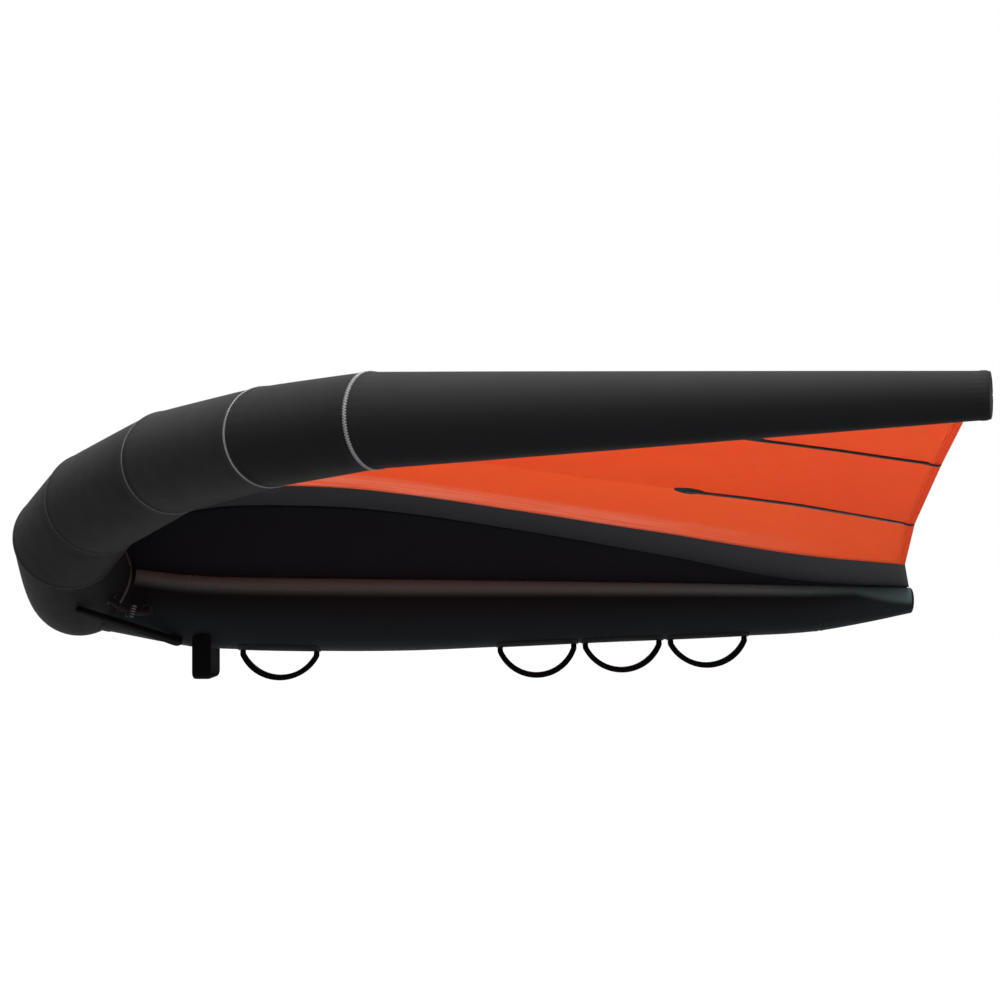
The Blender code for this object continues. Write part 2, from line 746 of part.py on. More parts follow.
def make_canopy():
    """Make the dark centre strip, the two main panels and the hems of their trailing edges."""
    edge = CENTRE_STRIP_HALF - SEAM_GAP / 2
    inner = [y for y in knot_spans() if 0 < y < edge]
    spans = [-edge, *[-y for y in reversed(inner)], 0.0, *inner, edge]
    rows = []
    for span in spans:
        side = -1 if span < 0 else 1
        rows.append([mirrored(canopy_point(abs(span), share), side) for share in chord_shares(1.0)])
    grid_sheet("canopy_centre_strip", rows, "strip", CLOTH)

    first = CENTRE_STRIP_HALF + SEAM_GAP / 2
    final = TIP_AXIS_Y * CANOPY_END_SHARE
    fixed = [y + shift for y in batten_spans() for shift in (-POCKET_PATCH_WIDTH / 2,
                                                              POCKET_PATCH_WIDTH / 2)]
    fixed += [first, final, *[y for y in knot_spans() if first < y < final]]
    even = [y for y in np.linspace(first, final, SPAN_STEPS + 1)
            if min(abs(y - other) for other in fixed) > POCKET_PATCH_WIDTH / 2]
    spans = sorted([*even, *fixed])
    for side, name in NAMES.items():
        rows = []
        hem_rows = []
        for y in spans:
            hem_share = 1 - HEM_WIDTH / chord_length(y)
            rows.append([mirrored(point, side) for point in canopy_row(y)])
            hem_rows.append([mirrored(canopy_point(y, share), side) for share in (hem_share, 1.0)])
        grid_sheet(f"canopy_{name}", rows, "canopy", CLOTH)
        grid_sheet(f"trailing_hem_{name}", hem_rows, "hem", HEM_THICKNESS)


def make_web():
    """Make the fabric web between the strut and the canopy, a flat outline in the centre plane."""
    top = []
    for share in chord_shares(1.0):
        point = canopy_point(0.0, share)
        top.append((point[0], point[2] - CLOTH / 2 - SEAM_GAP))
    xs = [strut_x(share) for share in STRUT_STATION_SHARES]
    strut_line = [(x, strut_axis_z(x) + strut_radius(x) + SEAM_GAP) for x in xs]
    bottom_xs, bottom_zs = zip(*strut_line)
    step_x = NOSE_AXIS_X + ROOT_RADIUS + COLLAR_WIDTH + SEAM_GAP
    step_z = float(np.interp(step_x, bottom_xs, bottom_zs))
    collar_lift = CASING_WALL + SEAM_GAP
    radius = ROOT_RADIUS + SEAM_GAP
    low_angle = math.asin((bottom_zs[1] + collar_lift - NOSE_AXIS_Z) / radius)
    high_angle = CANOPY_ROOT_ANGLE - 3 * SEAM_GAP / radius
    arc = []
    for step in range(5):
        angle = low_angle + (high_angle - low_angle) * step / 4
        arc.append((NOSE_AXIS_X + radius * math.cos(angle), NOSE_AXIS_Z + radius * math.sin(angle)))
    upper = [(x, z) for x, z in top if x > arc[-1][0] + SEAM_GAP
             and z > np.interp(x, bottom_xs, bottom_zs) + CLOTH]
    end_x = upper[-1][0]
    lower = [(step_x, step_z + collar_lift), (step_x + SEAM_GAP, step_z)]
    lower += [(x, z) for x, z in strut_line if step_x + SEAM_GAP < x < end_x]
    lower.append((end_x, float(np.interp(end_x, bottom_xs, bottom_zs))))
    outline = [*arc, *upper, *reversed(lower)]

    curve = bpy.data.curves.new("centre_web", "CURVE")
    curve.dimensions = "2D"
    curve.fill_mode = "BOTH"
    curve.extrude = CLOTH / 2
    spline = curve.splines.new("POLY")
    spline.points.add(len(outline) - 1)
    for point, (x, z) in zip(spline.points, outline):
        point.co = (x, z, 0.0, 1.0)
    spline.use_cyclic_u = True
    web = bpy.data.objects.new("centre_web", curve)
    web.rotation_euler = (math.radians(90), 0.0, 0.0)
    place(web, "web")


def batten_point(rows, station, shift, drop):
    """Return a point on the canopy between a batten's two rows, lowered by drop."""
    low = min(int(station), CHORD_STEPS - 1)
    across = shift / POCKET_PATCH_WIDTH + 0.5
    ends = [row[low] + (row[low + 1] - row[low]) * (station - low) for row in rows]
    return ends[0] + (ends[1] - ends[0]) * across - np.array([0.0, 0.0, drop])


def batten_station(chord, from_rear):
    """Return the place along a canopy row, counted in its points, at a distance from the rear."""
    last = 1 - (HEM_WIDTH + SEAM_GAP) / chord
    return CHORD_STEPS * ((1 - from_rear / chord) / last) ** (1 / CHORD_SPACING_SHARE)


def make_battens():
    """Make the battens and the sewn pockets that hold them under the canopy."""
    names = ("inner", "outer")
    near = CLOTH + SEAM_GAP
    batten_drop = CLOTH / 2 + SEAM_GAP + BATTEN_THICKNESS / 2
    low = batten_drop + BATTEN_THICKNESS / 2 + SEAM_GAP + CLOTH / 2
    inner_half = BATTEN_WIDTH / 2 + SEAM_GAP
    for y, length, label in zip(batten_spans(), BATTEN_LENGTHS, names):
        rows = [canopy_row(y + shift) for shift in (-POCKET_PATCH_WIDTH / 2, POCKET_PATCH_WIDTH / 2)]
        station = functools.partial(batten_station, chord_length(y))
        rear = BATTEN_REAR_MARGIN
        front = rear + length
        knots = [k for k in range(CHORD_STEPS) if station(front - POCKET_PATCH_LENGTH) < k < station(rear)]
        sections = [(station(front), near, POCKET_PATCH_WIDTH / 2),
                    (station(front - POCKET_WIDTH / 2), near, POCKET_PATCH_WIDTH),
                    (station(front - POCKET_WIDTH), low, POCKET_PATCH_WIDTH),
                    (station(front - POCKET_PATCH_LENGTH), low, POCKET_WIDTH)]
        sections += [(k, low, POCKET_WIDTH) for k in knots]
        sections.append((station(rear), low, POCKET_WIDTH))
        batten_knots = [place_at for place_at, _, _ in sections[2:]]
        batten_knots[0] = station(front - POCKET_WIDTH - BATTEN_WIDTH)
        for side, name in NAMES.items():
            strip = [[mirrored(batten_point(rows, k, shift, batten_drop), side)
                      for shift in (-BATTEN_WIDTH / 2, BATTEN_WIDTH / 2)] for k in batten_knots]
            grid_sheet(f"batten_{name}_{label}", strip, "batten", BATTEN_THICKNESS)
            sleeve = []
            for k, depth, width in sections:
                columns = ((-width / 2, near), (-inner_half, depth), (inner_half, depth), (width / 2, near))
                sleeve.append([mirrored(batten_point(rows, k, shift, drop), side)
                               for shift, drop in columns])
            grid_sheet(f"batten_pocket_{name}_{label}", sleeve, "pocket", CLOTH)


# Handles and straps


def ribbon(name, path, across, widths, thickness, kind="webbing"):
    """Make a flat strap: a path, the directions across it and its widths, with square edges."""
    path = np.asarray(path, float)
    tangents = np.gradient(path, axis=0)
    points = []
    for point, tangent, direction, width in zip(path, tangents, across, widths):
        side = unit(direction)
        normal = unit(np.cross(unit(tangent), side))
        for a, b in ((-1, -1), (1, -1), (1, 1), (-1, 1)):
            points.append(point + side * a * width / 2 + normal * b * thickness / 2)
    count = len(path)
    faces = [(0, 1, 2, 3), tuple(4 * (count - 1) + k for k in (3, 2, 1, 0))]
    for row in range(count - 1):
        for column in range(4):
            following = (column + 1) % 4
            faces.append((row * 4 + following, row * 4 + column, (row + 1) * 4 + column,
                          (row + 1) * 4 + following))
    obj = mesh_object(name, points, faces, kind)
    bm = bmesh.new()
    bm.from_mesh(obj.data)
    bmesh.ops.recalc_face_normals(bm, faces=bm.faces)
    bm.to_mesh(obj.data)
    bm.free()
    return obj


def handle_places():
    """Return each handle's centre along X and its depth below the strut."""
    places = (-FRONT_HANDLE_REACH, 0.0, REAR_HANDLE_PITCH, 2 * REAR_HANDLE_PITCH)
    return [(x, HANDLE_DROP * share) for x, share in zip(places, HANDLE_DROP_SHARES)]


def handle_axis(x):
    """Return the two ends of a handle's swing axis, a tab radius and a clearance below its patch."""
    depth = TOUCH_GAP + CASING_WALL + HANDLE_CLEARANCE + HANDLE_TAB_RADIUS
    ends = []
    for end in (x - HANDLE_SPAN / 2, x + HANDLE_SPAN / 2):
        ends.append(strut_point(end, math.radians(-90), depth))
    return ends


def round_end(radius, steps=4):
    """Return how far each station of a round tab lies from its top, and its width there."""
    stations = []
    for step in range(steps):
        angle = TAB_START_ANGLE + (math.pi / 2 - TAB_START_ANGLE) * step / (steps - 1)
        stations.append((radius * (1 - math.cos(angle)), 2 * radius * math.sin(angle)))
    return stations


def make_handle(number, x, drop):
    """Make one webbing handle, a round arc whose tabs turn about an axis along the strut."""
    front, rear = handle_axis(x)
    axis = unit(rear - front)
    tab = round_end(HANDLE_TAB_RADIUS)
    half = float(np.linalg.norm(rear - front)) / 2
    patch_depth = TOUCH_GAP + CASING_WALL + HANDLE_CLEARANCE
    reach = drop - patch_depth - HANDLE_TAB_RADIUS - HANDLE_THICKNESS / 2
    radius = (half**2 + reach**2) / (2 * reach)
    spread = math.asin(half / radius)
    path = []
    widths = []
    for down, width in tab:
        path.append((-half, 0.0, HANDLE_TAB_RADIUS - down))
        widths.append(width)
    for step in range(1, HANDLE_STEPS):
        angle = spread * (2 * step / HANDLE_STEPS - 1)
        depth = reach - radius * (1 - math.cos(angle))
        path.append((radius * math.sin(angle), 0.0, -depth))
        widths.append(min(HANDLE_WIDTH, 2 * (HANDLE_TAB_RADIUS + HANDLE_TAPER_SHARE * depth)))
    for down, width in reversed(tab):
        path.append((half, 0.0, HANDLE_TAB_RADIUS - down))
        widths.append(width)
    across = [(0.0, 1.0, 0.0)] * len(path)
    handle = ribbon(f"handle_{number}", path, across, widths, HANDLE_THICKNESS)
    handle.matrix_world = (Matrix.Translation((front + rear) / 2)
                           @ Matrix.Rotation(-math.atan2(axis[2], axis[0]), 4, "Y"))

    ends = (x - HANDLE_SPAN / 2 - HANDLE_THICKNESS / 2 - PATCH_MARGIN,
            x + HANDLE_SPAN / 2 + HANDLE_THICKNESS / 2 + PATCH_MARGIN)
    knots = [strut_x(share) for share in STRUT_STATION_SHARES]
    xs = sorted({*ends, x, *[knot for knot in knots if ends[0] < knot < ends[1]]})
    step = 2 * math.pi / TUBE_SIDES
    angles = [math.radians(-90) + step * k for k in range(-PATCH_ANGLE_STEPS, PATCH_ANGLE_STEPS + 1)]
    rows = [[strut_point(place_x, angle, TOUCH_GAP + CASING_WALL / 2) for angle in angles] for place_x in xs]
    grid_sheet(f"handle_patch_{number}", rows, "patch", CASING_WALL)


def cross_loop_pivot():
    """Return the middle of the cross loop's swing axis, a little above the strut's belly."""
    x = NOSE_AXIS_X + CROSS_LOOP_SETBACK
    return np.array([x, 0.0, strut_point(x, math.radians(-90))[2] + CROSS_LOOP_PIVOT_LIFT])


def make_cross_loop(cutters):
    """Make the wide loop across the strut's front, its two anchor pads and its swing axis."""
    pivot = cross_loop_pivot()
    radius = CROSS_LOOP_WIDTH / 2
    corner = CROSS_LOOP_CORNER
    half = CROSS_LOOP_HALF
    bottom = -CROSS_LOOP_DROP + CROSS_LOOP_THICKNESS / 2
    left = [(0.0, -half, radius - down) for down, _ in round_end(radius)]
    widths = [width for _, width in round_end(radius)]
    left.append((0.0, -half, bottom + corner * 2))
    for step in range(5):
        angle = math.radians(90 * step / 4)
        left.append((0.0, -half + corner * (1 - math.cos(angle)), bottom + corner * (1 - math.sin(angle))))
    widths += [CROSS_LOOP_WIDTH] * 6
    path = [*left, *[(px, -py, pz) for px, py, pz in reversed(left)]]
    widths = [*widths, *reversed(widths)]
    loop = ribbon("cross_loop", path, [(1.0, 0.0, 0.0)] * len(path), widths, CROSS_LOOP_THICKNESS)
    loop.location = pivot
    for side, name in NAMES.items():
        matrix = frame_matrix(pivot, (0.0, side, 0.0), (0.0, 0.0, 1.0))
        outer = half - CROSS_LOOP_THICKNESS / 2 - TOUCH_GAP
        pad = cylinder(f"cross_loop_anchor_{name}", ANCHOR_RADIUS, half / 2, outer, matrix, "patch",
                       sides=TUBE_SIDES // 2)
        boolean(pad, cutters["strut"])


def make_nose_straps():
    """Make the taut straps that run from under the tube to the strut's lower sides."""
    lift = TOUCH_GAP + NOSE_STRAP_THICKNESS / 2
    le_normal_here = le_normal(NOSE_STRAP_STATION_SHARE, NOSE_STRAP_LE_ANGLE)
    start = le_point(NOSE_STRAP_STATION_SHARE, NOSE_STRAP_LE_ANGLE, lift)
    x = strut_x(NOSE_STRAP_REAR_SHARE)
    end = strut_point(x, NOSE_STRAP_STRUT_ANGLE, lift)
    strut_normal = np.array([0.0, math.cos(NOSE_STRAP_STRUT_ANGLE), math.sin(NOSE_STRAP_STRUT_ANGLE)])
    along = unit(end - start)
    steps = 6
    for side, name in NAMES.items():
        path = []
        across = []
        widths = []
        for step in range(steps + 1):
            share = step / steps
            normal = unit(le_normal_here * (1 - share) + strut_normal * share)
            path.append(mirrored(start + (end - start) * share, side))
            across.append(mirrored(np.cross(along, normal), side))
            widths.append(NOSE_STRAP_FRONT_WIDTH * (1 - share) + NOSE_STRAP_REAR_WIDTH * share)
        ribbon(f"nose_strap_{name}", path, across, widths, NOSE_STRAP_THICKNESS)


# Valves, hose and clip


def make_fitting(name, frame, sizes, cutter, kind="plastic"):
    """Make a flanged fitting that passes through the casing and bladder, with its bore.

    sizes is the flange's radius and height, the collar's radius and height, the neck's radius and
    depth, and the bore's radius.
    """
    flange_radius, flange_height, collar_radius, collar_height, neck_radius, neck_depth, bore = sizes
    point, normal = frame
    matrix = frame_matrix(point, normal, (0.0, 0.0, 1.0))
    fitting = cylinder(name, flange_radius, -flange_radius / 2, flange_height, matrix, kind)
    boolean(fitting, cutter)
    collar = cylinder(f"cut_{name}_collar", collar_radius, FITTING_COLLAR_LIFT, collar_height, matrix,
                      cutter=True)
    boolean(fitting, collar, "UNION")
    neck = cylinder(f"cut_{name}_neck", neck_radius, -neck_depth, FITTING_NECK_LIFT, matrix, cutter=True)
    boolean(fitting, neck, "UNION")
    hole = cylinder(f"cut_{name}_bore", bore, -neck_depth - OVERRUN, collar_height + OVERRUN, matrix,
                    cutter=True)
    boolean(fitting, hole)
    return matrix


def make_valve(name, frame, scale, cutter):
    """Make a valve: its base, the insert in its bore, and the cap that hinges at the collar."""
    collar_height = VALVE_COLLAR_HEIGHT * scale
    collar_radius = VALVE_COLLAR_RADIUS * scale
    bore = VALVE_BORE_RADIUS * scale
    sizes = (VALVE_FLANGE_RADIUS * scale, VALVE_FLANGE_HEIGHT * scale, collar_radius, collar_height,
             VALVE_NECK_RADIUS * scale, VALVE_NECK_DEPTH * scale, bore)
    matrix = make_fitting(f"{name}_base", frame, sizes, cutter)

    insert_outer = bore - TOUCH_GAP
    insert_wall = INSERT_WALL * scale
    depth = INSERT_DEPTH * scale
    insert = cylinder(f"{name}_insert", insert_outer, collar_height - depth, collar_height, matrix, "clip")
    hole = cylinder(f"cut_{name}_insert", insert_outer - insert_wall, collar_height - depth - OVERRUN,
                    collar_height + OVERRUN, matrix, cutter=True)
    boolean(insert, hole)

    pivot_height = collar_height + TOUCH_GAP + CAP_THICKNESS * scale / 2
    pivot_reach = collar_radius + CAP_LUG_LENGTH * scale
    pivot = matrix @ Matrix.Translation((pivot_reach, 0.0, pivot_height))
    cap = cylinder(f"{name}_cap", collar_radius, -CAP_THICKNESS * scale / 2, CAP_THICKNESS * scale / 2,
                   pivot @ Matrix.Translation((-pivot_reach, 0.0, 0.0)), "plastic")
    lug = block(f"cut_{name}_lug", (pivot_reach, CAP_LUG_WIDTH * scale, CAP_THICKNESS * scale),
                (-pivot_reach / 2, 0.0, 0.0), pivot, cutter=True)
    boolean(cap, lug, "UNION")
    move_origin(cap, pivot)


def move_origin(obj, matrix):
    """Move an object's origin to a matrix and leave its shape where it is."""
    obj.data.transform(matrix.inverted() @ obj.matrix_world)
    obj.matrix_world = matrix


def hose_route():
    """Return the hose's points: a cubic curve that leaves and enters square to both fittings."""
    start_point, start_normal = hose_le_frame()
    end_point, end_normal = hose_strut_frame()
    lift = FITTING_FLANGE_HEIGHT + TOUCH_GAP
    start = start_point + start_normal * lift
    end = end_point + end_normal * lift
    bend_start = start + start_normal * (SPIGOT_LENGTH + TOUCH_GAP)
    bend_end = end + end_normal * (SPIGOT_LENGTH + TOUCH_GAP)
    pulls = [bend_start, bend_start + start_normal * HOSE_LEAD, bend_end + end_normal * HOSE_LEAD, bend_end]
    route = [start]
    for step in range(HOSE_POINTS):
        t = step / (HOSE_POINTS - 1)
        weights = ((1 - t) ** 3, 3 * t * (1 - t) ** 2, 3 * t * t * (1 - t), t**3)
        route.append(sum(weight * pull for weight, pull in zip(weights, pulls)))
    route.append(end)
    return np.array(route)


def make_hose(cutters):
    """Make the hose, the fittings at both ends and the pinch clip with its lever."""
    sizes = (FITTING_FLANGE_RADIUS, FITTING_FLANGE_HEIGHT, SPIGOT_RADIUS,
             FITTING_FLANGE_HEIGHT + SPIGOT_LENGTH, FITTING_NECK_RADIUS, FITTING_NECK_DEPTH,
             FITTING_BORE_RADIUS)
    make_fitting("hose_fitting_nose", hose_le_frame(), sizes, cutters["le"])
    make_fitting("hose_fitting_strut", hose_strut_frame(), sizes, cutters["strut"])

    route = hose_route()
    curve = bpy.data.curves.new("transfer_hose", "CURVE")
    curve.dimensions = "3D"
    curve.bevel_depth = HOSE_RADIUS
    curve.bevel_resolution = 2
    spline = curve.splines.new("POLY")
    spline.points.add(len(route) - 1)
    for point, place_at in zip(spline.points, route):
        point.co = (*place_at, 1.0)
    guide = bpy.data.objects.new("transfer_hose_guide", curve)
    bpy.context.scene.collection.objects.link(guide)
    bpy.context.view_layer.update()
    mesh = bpy.data.meshes.new_from_object(guide.evaluated_get(bpy.context.evaluated_depsgraph_get()))
    bpy.data.objects.remove(guide)
    mesh.shade_smooth()
    hose = bpy.data.objects.new("transfer_hose", mesh)
    place(hose, "hose")
    solidify(hose, HOSE_WALL, -1)

    index = 1 + round(CLIP_PLACE_SHARE * (HOSE_POINTS - 1))
    along = unit(route[index + 1] - route[index - 1])
    outward = unit(np.array([0.0, -1.0, 0.0]) - along * -along[1])
    matrix = frame_matrix(route[index], outward, along)
    clip = block("hose_clip", (CLIP_DEPTH, CLIP_SIZE, CLIP_WIDTH), (0.0, 0.0, 0.0), matrix, "clip")
    bore_matrix = matrix @ Matrix.Rotation(math.radians(90), 4, "Y")
    hole = cylinder("cut_clip_bore", HOSE_RADIUS + CLIP_BORE_GAP, -CLIP_DEPTH, CLIP_DEPTH, bore_matrix,
                    cutter=True)
    bevel(clip, CLIP_EDGE, 1)
    boolean(clip, hole)

    pivot = matrix @ Matrix.Translation((0.0, -CLIP_SIZE / 2, CLIP_WIDTH / 2 + TOUCH_GAP
                                         + LEVER_THICKNESS / 2))
    lever = block("hose_clip_lever", (CLIP_DEPTH, CLIP_SIZE + LEVER_LIP, LEVER_THICKNESS),
                  (0.0, (CLIP_SIZE + LEVER_LIP) / 2, 0.0), pivot, "plastic")
    bevel(lever, LEVER_THICKNESS / 4, 1)


def main():
    """Build the whole wing."""
    global PARTS, CUTTERS
    clear_scene()
    PARTS = new_collection("wingfoil_wing")
    CUTTERS = new_collection("cutters")
    cutters = make_cutters()
    make_leading_edge(cutters)
    make_strut(cutters)
    make_canopy()
    make_web()
    make_battens()
    for number, (x, drop) in enumerate(handle_places(), start=1):
        make_handle(number, x, drop)
    make_cross_loop(cutters)
    make_nose_straps()
    make_valve("inflation_valve", valve_frame(), 1.0, cutters["le"])
    make_valve("strut_valve", strut_valve_frame(), STRUT_VALVE_SCALE_SHARE, cutters["strut"])
    make_hose(cutters)


main()
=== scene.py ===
"""Looks of an inflatable hand wing: cloth tubes, canopy, webbing, stitching, studio and camera.

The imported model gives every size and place. +X runs rearward, +Y to the right tip and +Z up, in metres.
Surfaces are worked out as whole arrays: a point is a function of two parameters on a grid.
"""

import json
import logging
import math
from dataclasses import dataclass
from enum import Enum

import bpy
import numpy as np
from mathutils import Matrix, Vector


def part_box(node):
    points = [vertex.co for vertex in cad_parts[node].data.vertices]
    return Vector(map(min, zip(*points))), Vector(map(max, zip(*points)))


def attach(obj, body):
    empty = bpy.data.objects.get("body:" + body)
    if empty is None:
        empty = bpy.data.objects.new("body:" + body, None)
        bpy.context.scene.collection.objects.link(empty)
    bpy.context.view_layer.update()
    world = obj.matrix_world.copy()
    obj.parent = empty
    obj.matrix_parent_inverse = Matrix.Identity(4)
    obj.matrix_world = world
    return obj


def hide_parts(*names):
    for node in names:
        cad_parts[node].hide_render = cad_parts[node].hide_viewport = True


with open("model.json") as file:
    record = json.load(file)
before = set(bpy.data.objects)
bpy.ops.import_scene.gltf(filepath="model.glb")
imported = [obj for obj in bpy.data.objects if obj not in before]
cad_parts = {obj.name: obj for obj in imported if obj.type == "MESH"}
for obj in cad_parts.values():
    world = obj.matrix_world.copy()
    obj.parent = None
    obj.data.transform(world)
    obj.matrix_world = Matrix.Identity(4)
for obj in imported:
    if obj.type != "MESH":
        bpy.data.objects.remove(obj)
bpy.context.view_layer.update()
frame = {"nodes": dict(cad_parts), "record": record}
LOG = logging.getLogger("wing")
Array = np.ndarray
Colour = tuple[float, float, float]
UP = np.array([0.0, 0.0, 1.0])
SPANWISE = np.array([0.0, 1.0, 0.0])
REARWARD = np.array([1.0, 0.0, 0.0])


class Side(Enum):
    """The two halves of the wing, with the sign of Y on each."""

    RIGHT = 1
    LEFT = -1

    @property
    def word(self) -> str:
        """Return the word that node names use for this half."""
        return self.name.lower()


class Weave(Enum):
    """How a cloth's threads show: plain, with ripstop squares, or as ribs of webbing."""

    PLAIN = "plain"
    RIPSTOP = "ripstop"
    RIBBED = "ribbed"


# Arrays


def unit(vectors: Array) -> Array:
    """Return vectors scaled to length one along their last axis."""
    return vectors / np.maximum(np.linalg.norm(vectors, axis=-1, keepdims=True), 1e-12)


def pairs(first: Array, second: Array) -> Array:
    """Return every pair of two lists of numbers, as a grid of rows x columns x 2."""
    return np.stack(np.meshgrid(first, second, indexing="ij"), -1)


def turns(count: int, start: float = 0.0) -> Array:
    """Return equal angles once round from start, without the closing one."""
    return np.arange(count) * 2 * math.pi / count + start


def metres_round(count: int, radius: float) -> Array:
    """Return the places round a ring in metres, with the closing one."""
    return np.linspace(0.0, 2 * math.pi, count + 1) * radius


def blunt(wave: Array, power: float) -> Array:
    """Return a wave with its size raised to a power and its sign kept."""
    return np.sign(wave) * np.abs(wave) ** power


def bell(x: Array, width: float) -> Array:
    """Return exp(-(x / width)^2)."""
    return np.exp(-((x / width) ** 2))


def hermite(x: Array, xs: tuple[float, ...], ys: tuple[float, ...]) -> Array:
    """Return the smooth curve through a table: cubic pieces whose slopes are the table's gradient.

    Args:
        x: places to read.
        xs: the table's places, rising.
        ys: the table's values.

    Returns:
        The curve's values at x.
    """
    xs_a, ys_a = np.asarray(xs, float), np.asarray(ys, float)
    slopes = np.gradient(ys_a, xs_a)
    x = np.clip(np.asarray(x, float), xs_a[0], xs_a[-1])
    k = np.clip(np.searchsorted(xs_a, x, side="right") - 1, 0, len(xs_a) - 2)
    step = xs_a[k + 1] - xs_a[k]
    t = (x - xs_a[k]) / step
    rise = ys_a[k] * (2 * t**3 - 3 * t**2 + 1) + ys_a[k + 1] * (3 * t**2 - 2 * t**3)
    return rise + step * (slopes[k] * (t**3 - 2 * t**2 + t) + slopes[k + 1] * (t**3 - t**2))


def ramp(x: Array, low: float, high: float) -> Array:
    """Return 0 below low, 1 above high and the smooth step 3t^2 - 2t^3 between them."""
    t = np.clip((x - low) / (high - low), 0.0, 1.0)
    return t * t * (3 - 2 * t)


def lengths_along(points: Array) -> Array:
    """Return the running length along a path of points, starting from zero."""
    steps = np.linalg.norm(np.diff(points, axis=0), axis=-1)
    return np.concatenate([[0.0], np.cumsum(steps)])


def tube_along(path: Array, radius: Array | float, sides: int) -> tuple[Array, Array]:
    """Return the grid and metre places of a round tube carried along a path.

    Each ring stands across the path's tangent; its first direction is carried from ring to ring by
    taking the tangent's part away from it, so the tube doesn't twist.

    Args:
        path: the centre line's points.
        radius: one radius, or one for each point.
        sides: points round the tube.

    Returns:
        Points (rows x sides x 3) and places (rows x sides + 1 x 2).
    """
    tangents = unit(np.gradient(path, axis=0))
    first = np.zeros_like(path)
    guide = UP if abs(tangents[0][2]) < 0.9 else REARWARD
    for k, tangent in enumerate(tangents):
        guide = unit(guide - guide @ tangent * tangent)
        first[k] = guide
    second = np.cross(tangents, first)
    angles = turns(sides)[None, :, None]
    reach = np.broadcast_to(np.asarray(radius, float), (len(path),))
    circle = np.cos(angles) * first[:, None] + np.sin(angles) * second[:, None]
    points = path[:, None] + reach[:, None, None] * circle
    return points, pairs(lengths_along(path), metres_round(sides, float(np.mean(reach))))


def strap(path: Array, across: Array, width: Array, thickness: Array | float,
          sides: int = 20) -> tuple[Array, Array]:
    """Return the grid and metre places of a strap: a flat rounded section carried along a path.

    The section is |x/w|^5 + |z/t|^3 = 1 in powers of cosine and sine of one angle.

    Args:
        path: the strap's middle line.
        across: the direction across the strap, one or one for each point.
        width: its width at each point.
        thickness: its thickness.
        sides: points round the section.

    Returns:
        Points (rows x sides x 3) and places (rows x sides + 1 x 2).
    """
    tangent = unit(np.gradient(path, axis=0))
    side = unit(across - (across * tangent).sum(-1, keepdims=True) * tangent)
    normal = np.cross(tangent, side)
    turn = turns(sides, math.pi / sides)
    flat, deep = blunt(np.cos(turn), 0.35), blunt(np.sin(turn), 0.55)
    width, thick = (np.broadcast_to(np.asarray(size, float), (len(path),))[:, None]
                    for size in (width, thickness))
    points = (path[:, None] + (width / 2 * flat)[..., None] * side[:, None]
              + (thick / 2 * deep)[..., None] * normal[:, None])
    places = (np.append(flat, flat[0]) + 1) * width / 2
    return points, np.stack([np.repeat(lengths_along(path)[:, None], sides + 1, axis=1), places], -1)


# Finishes


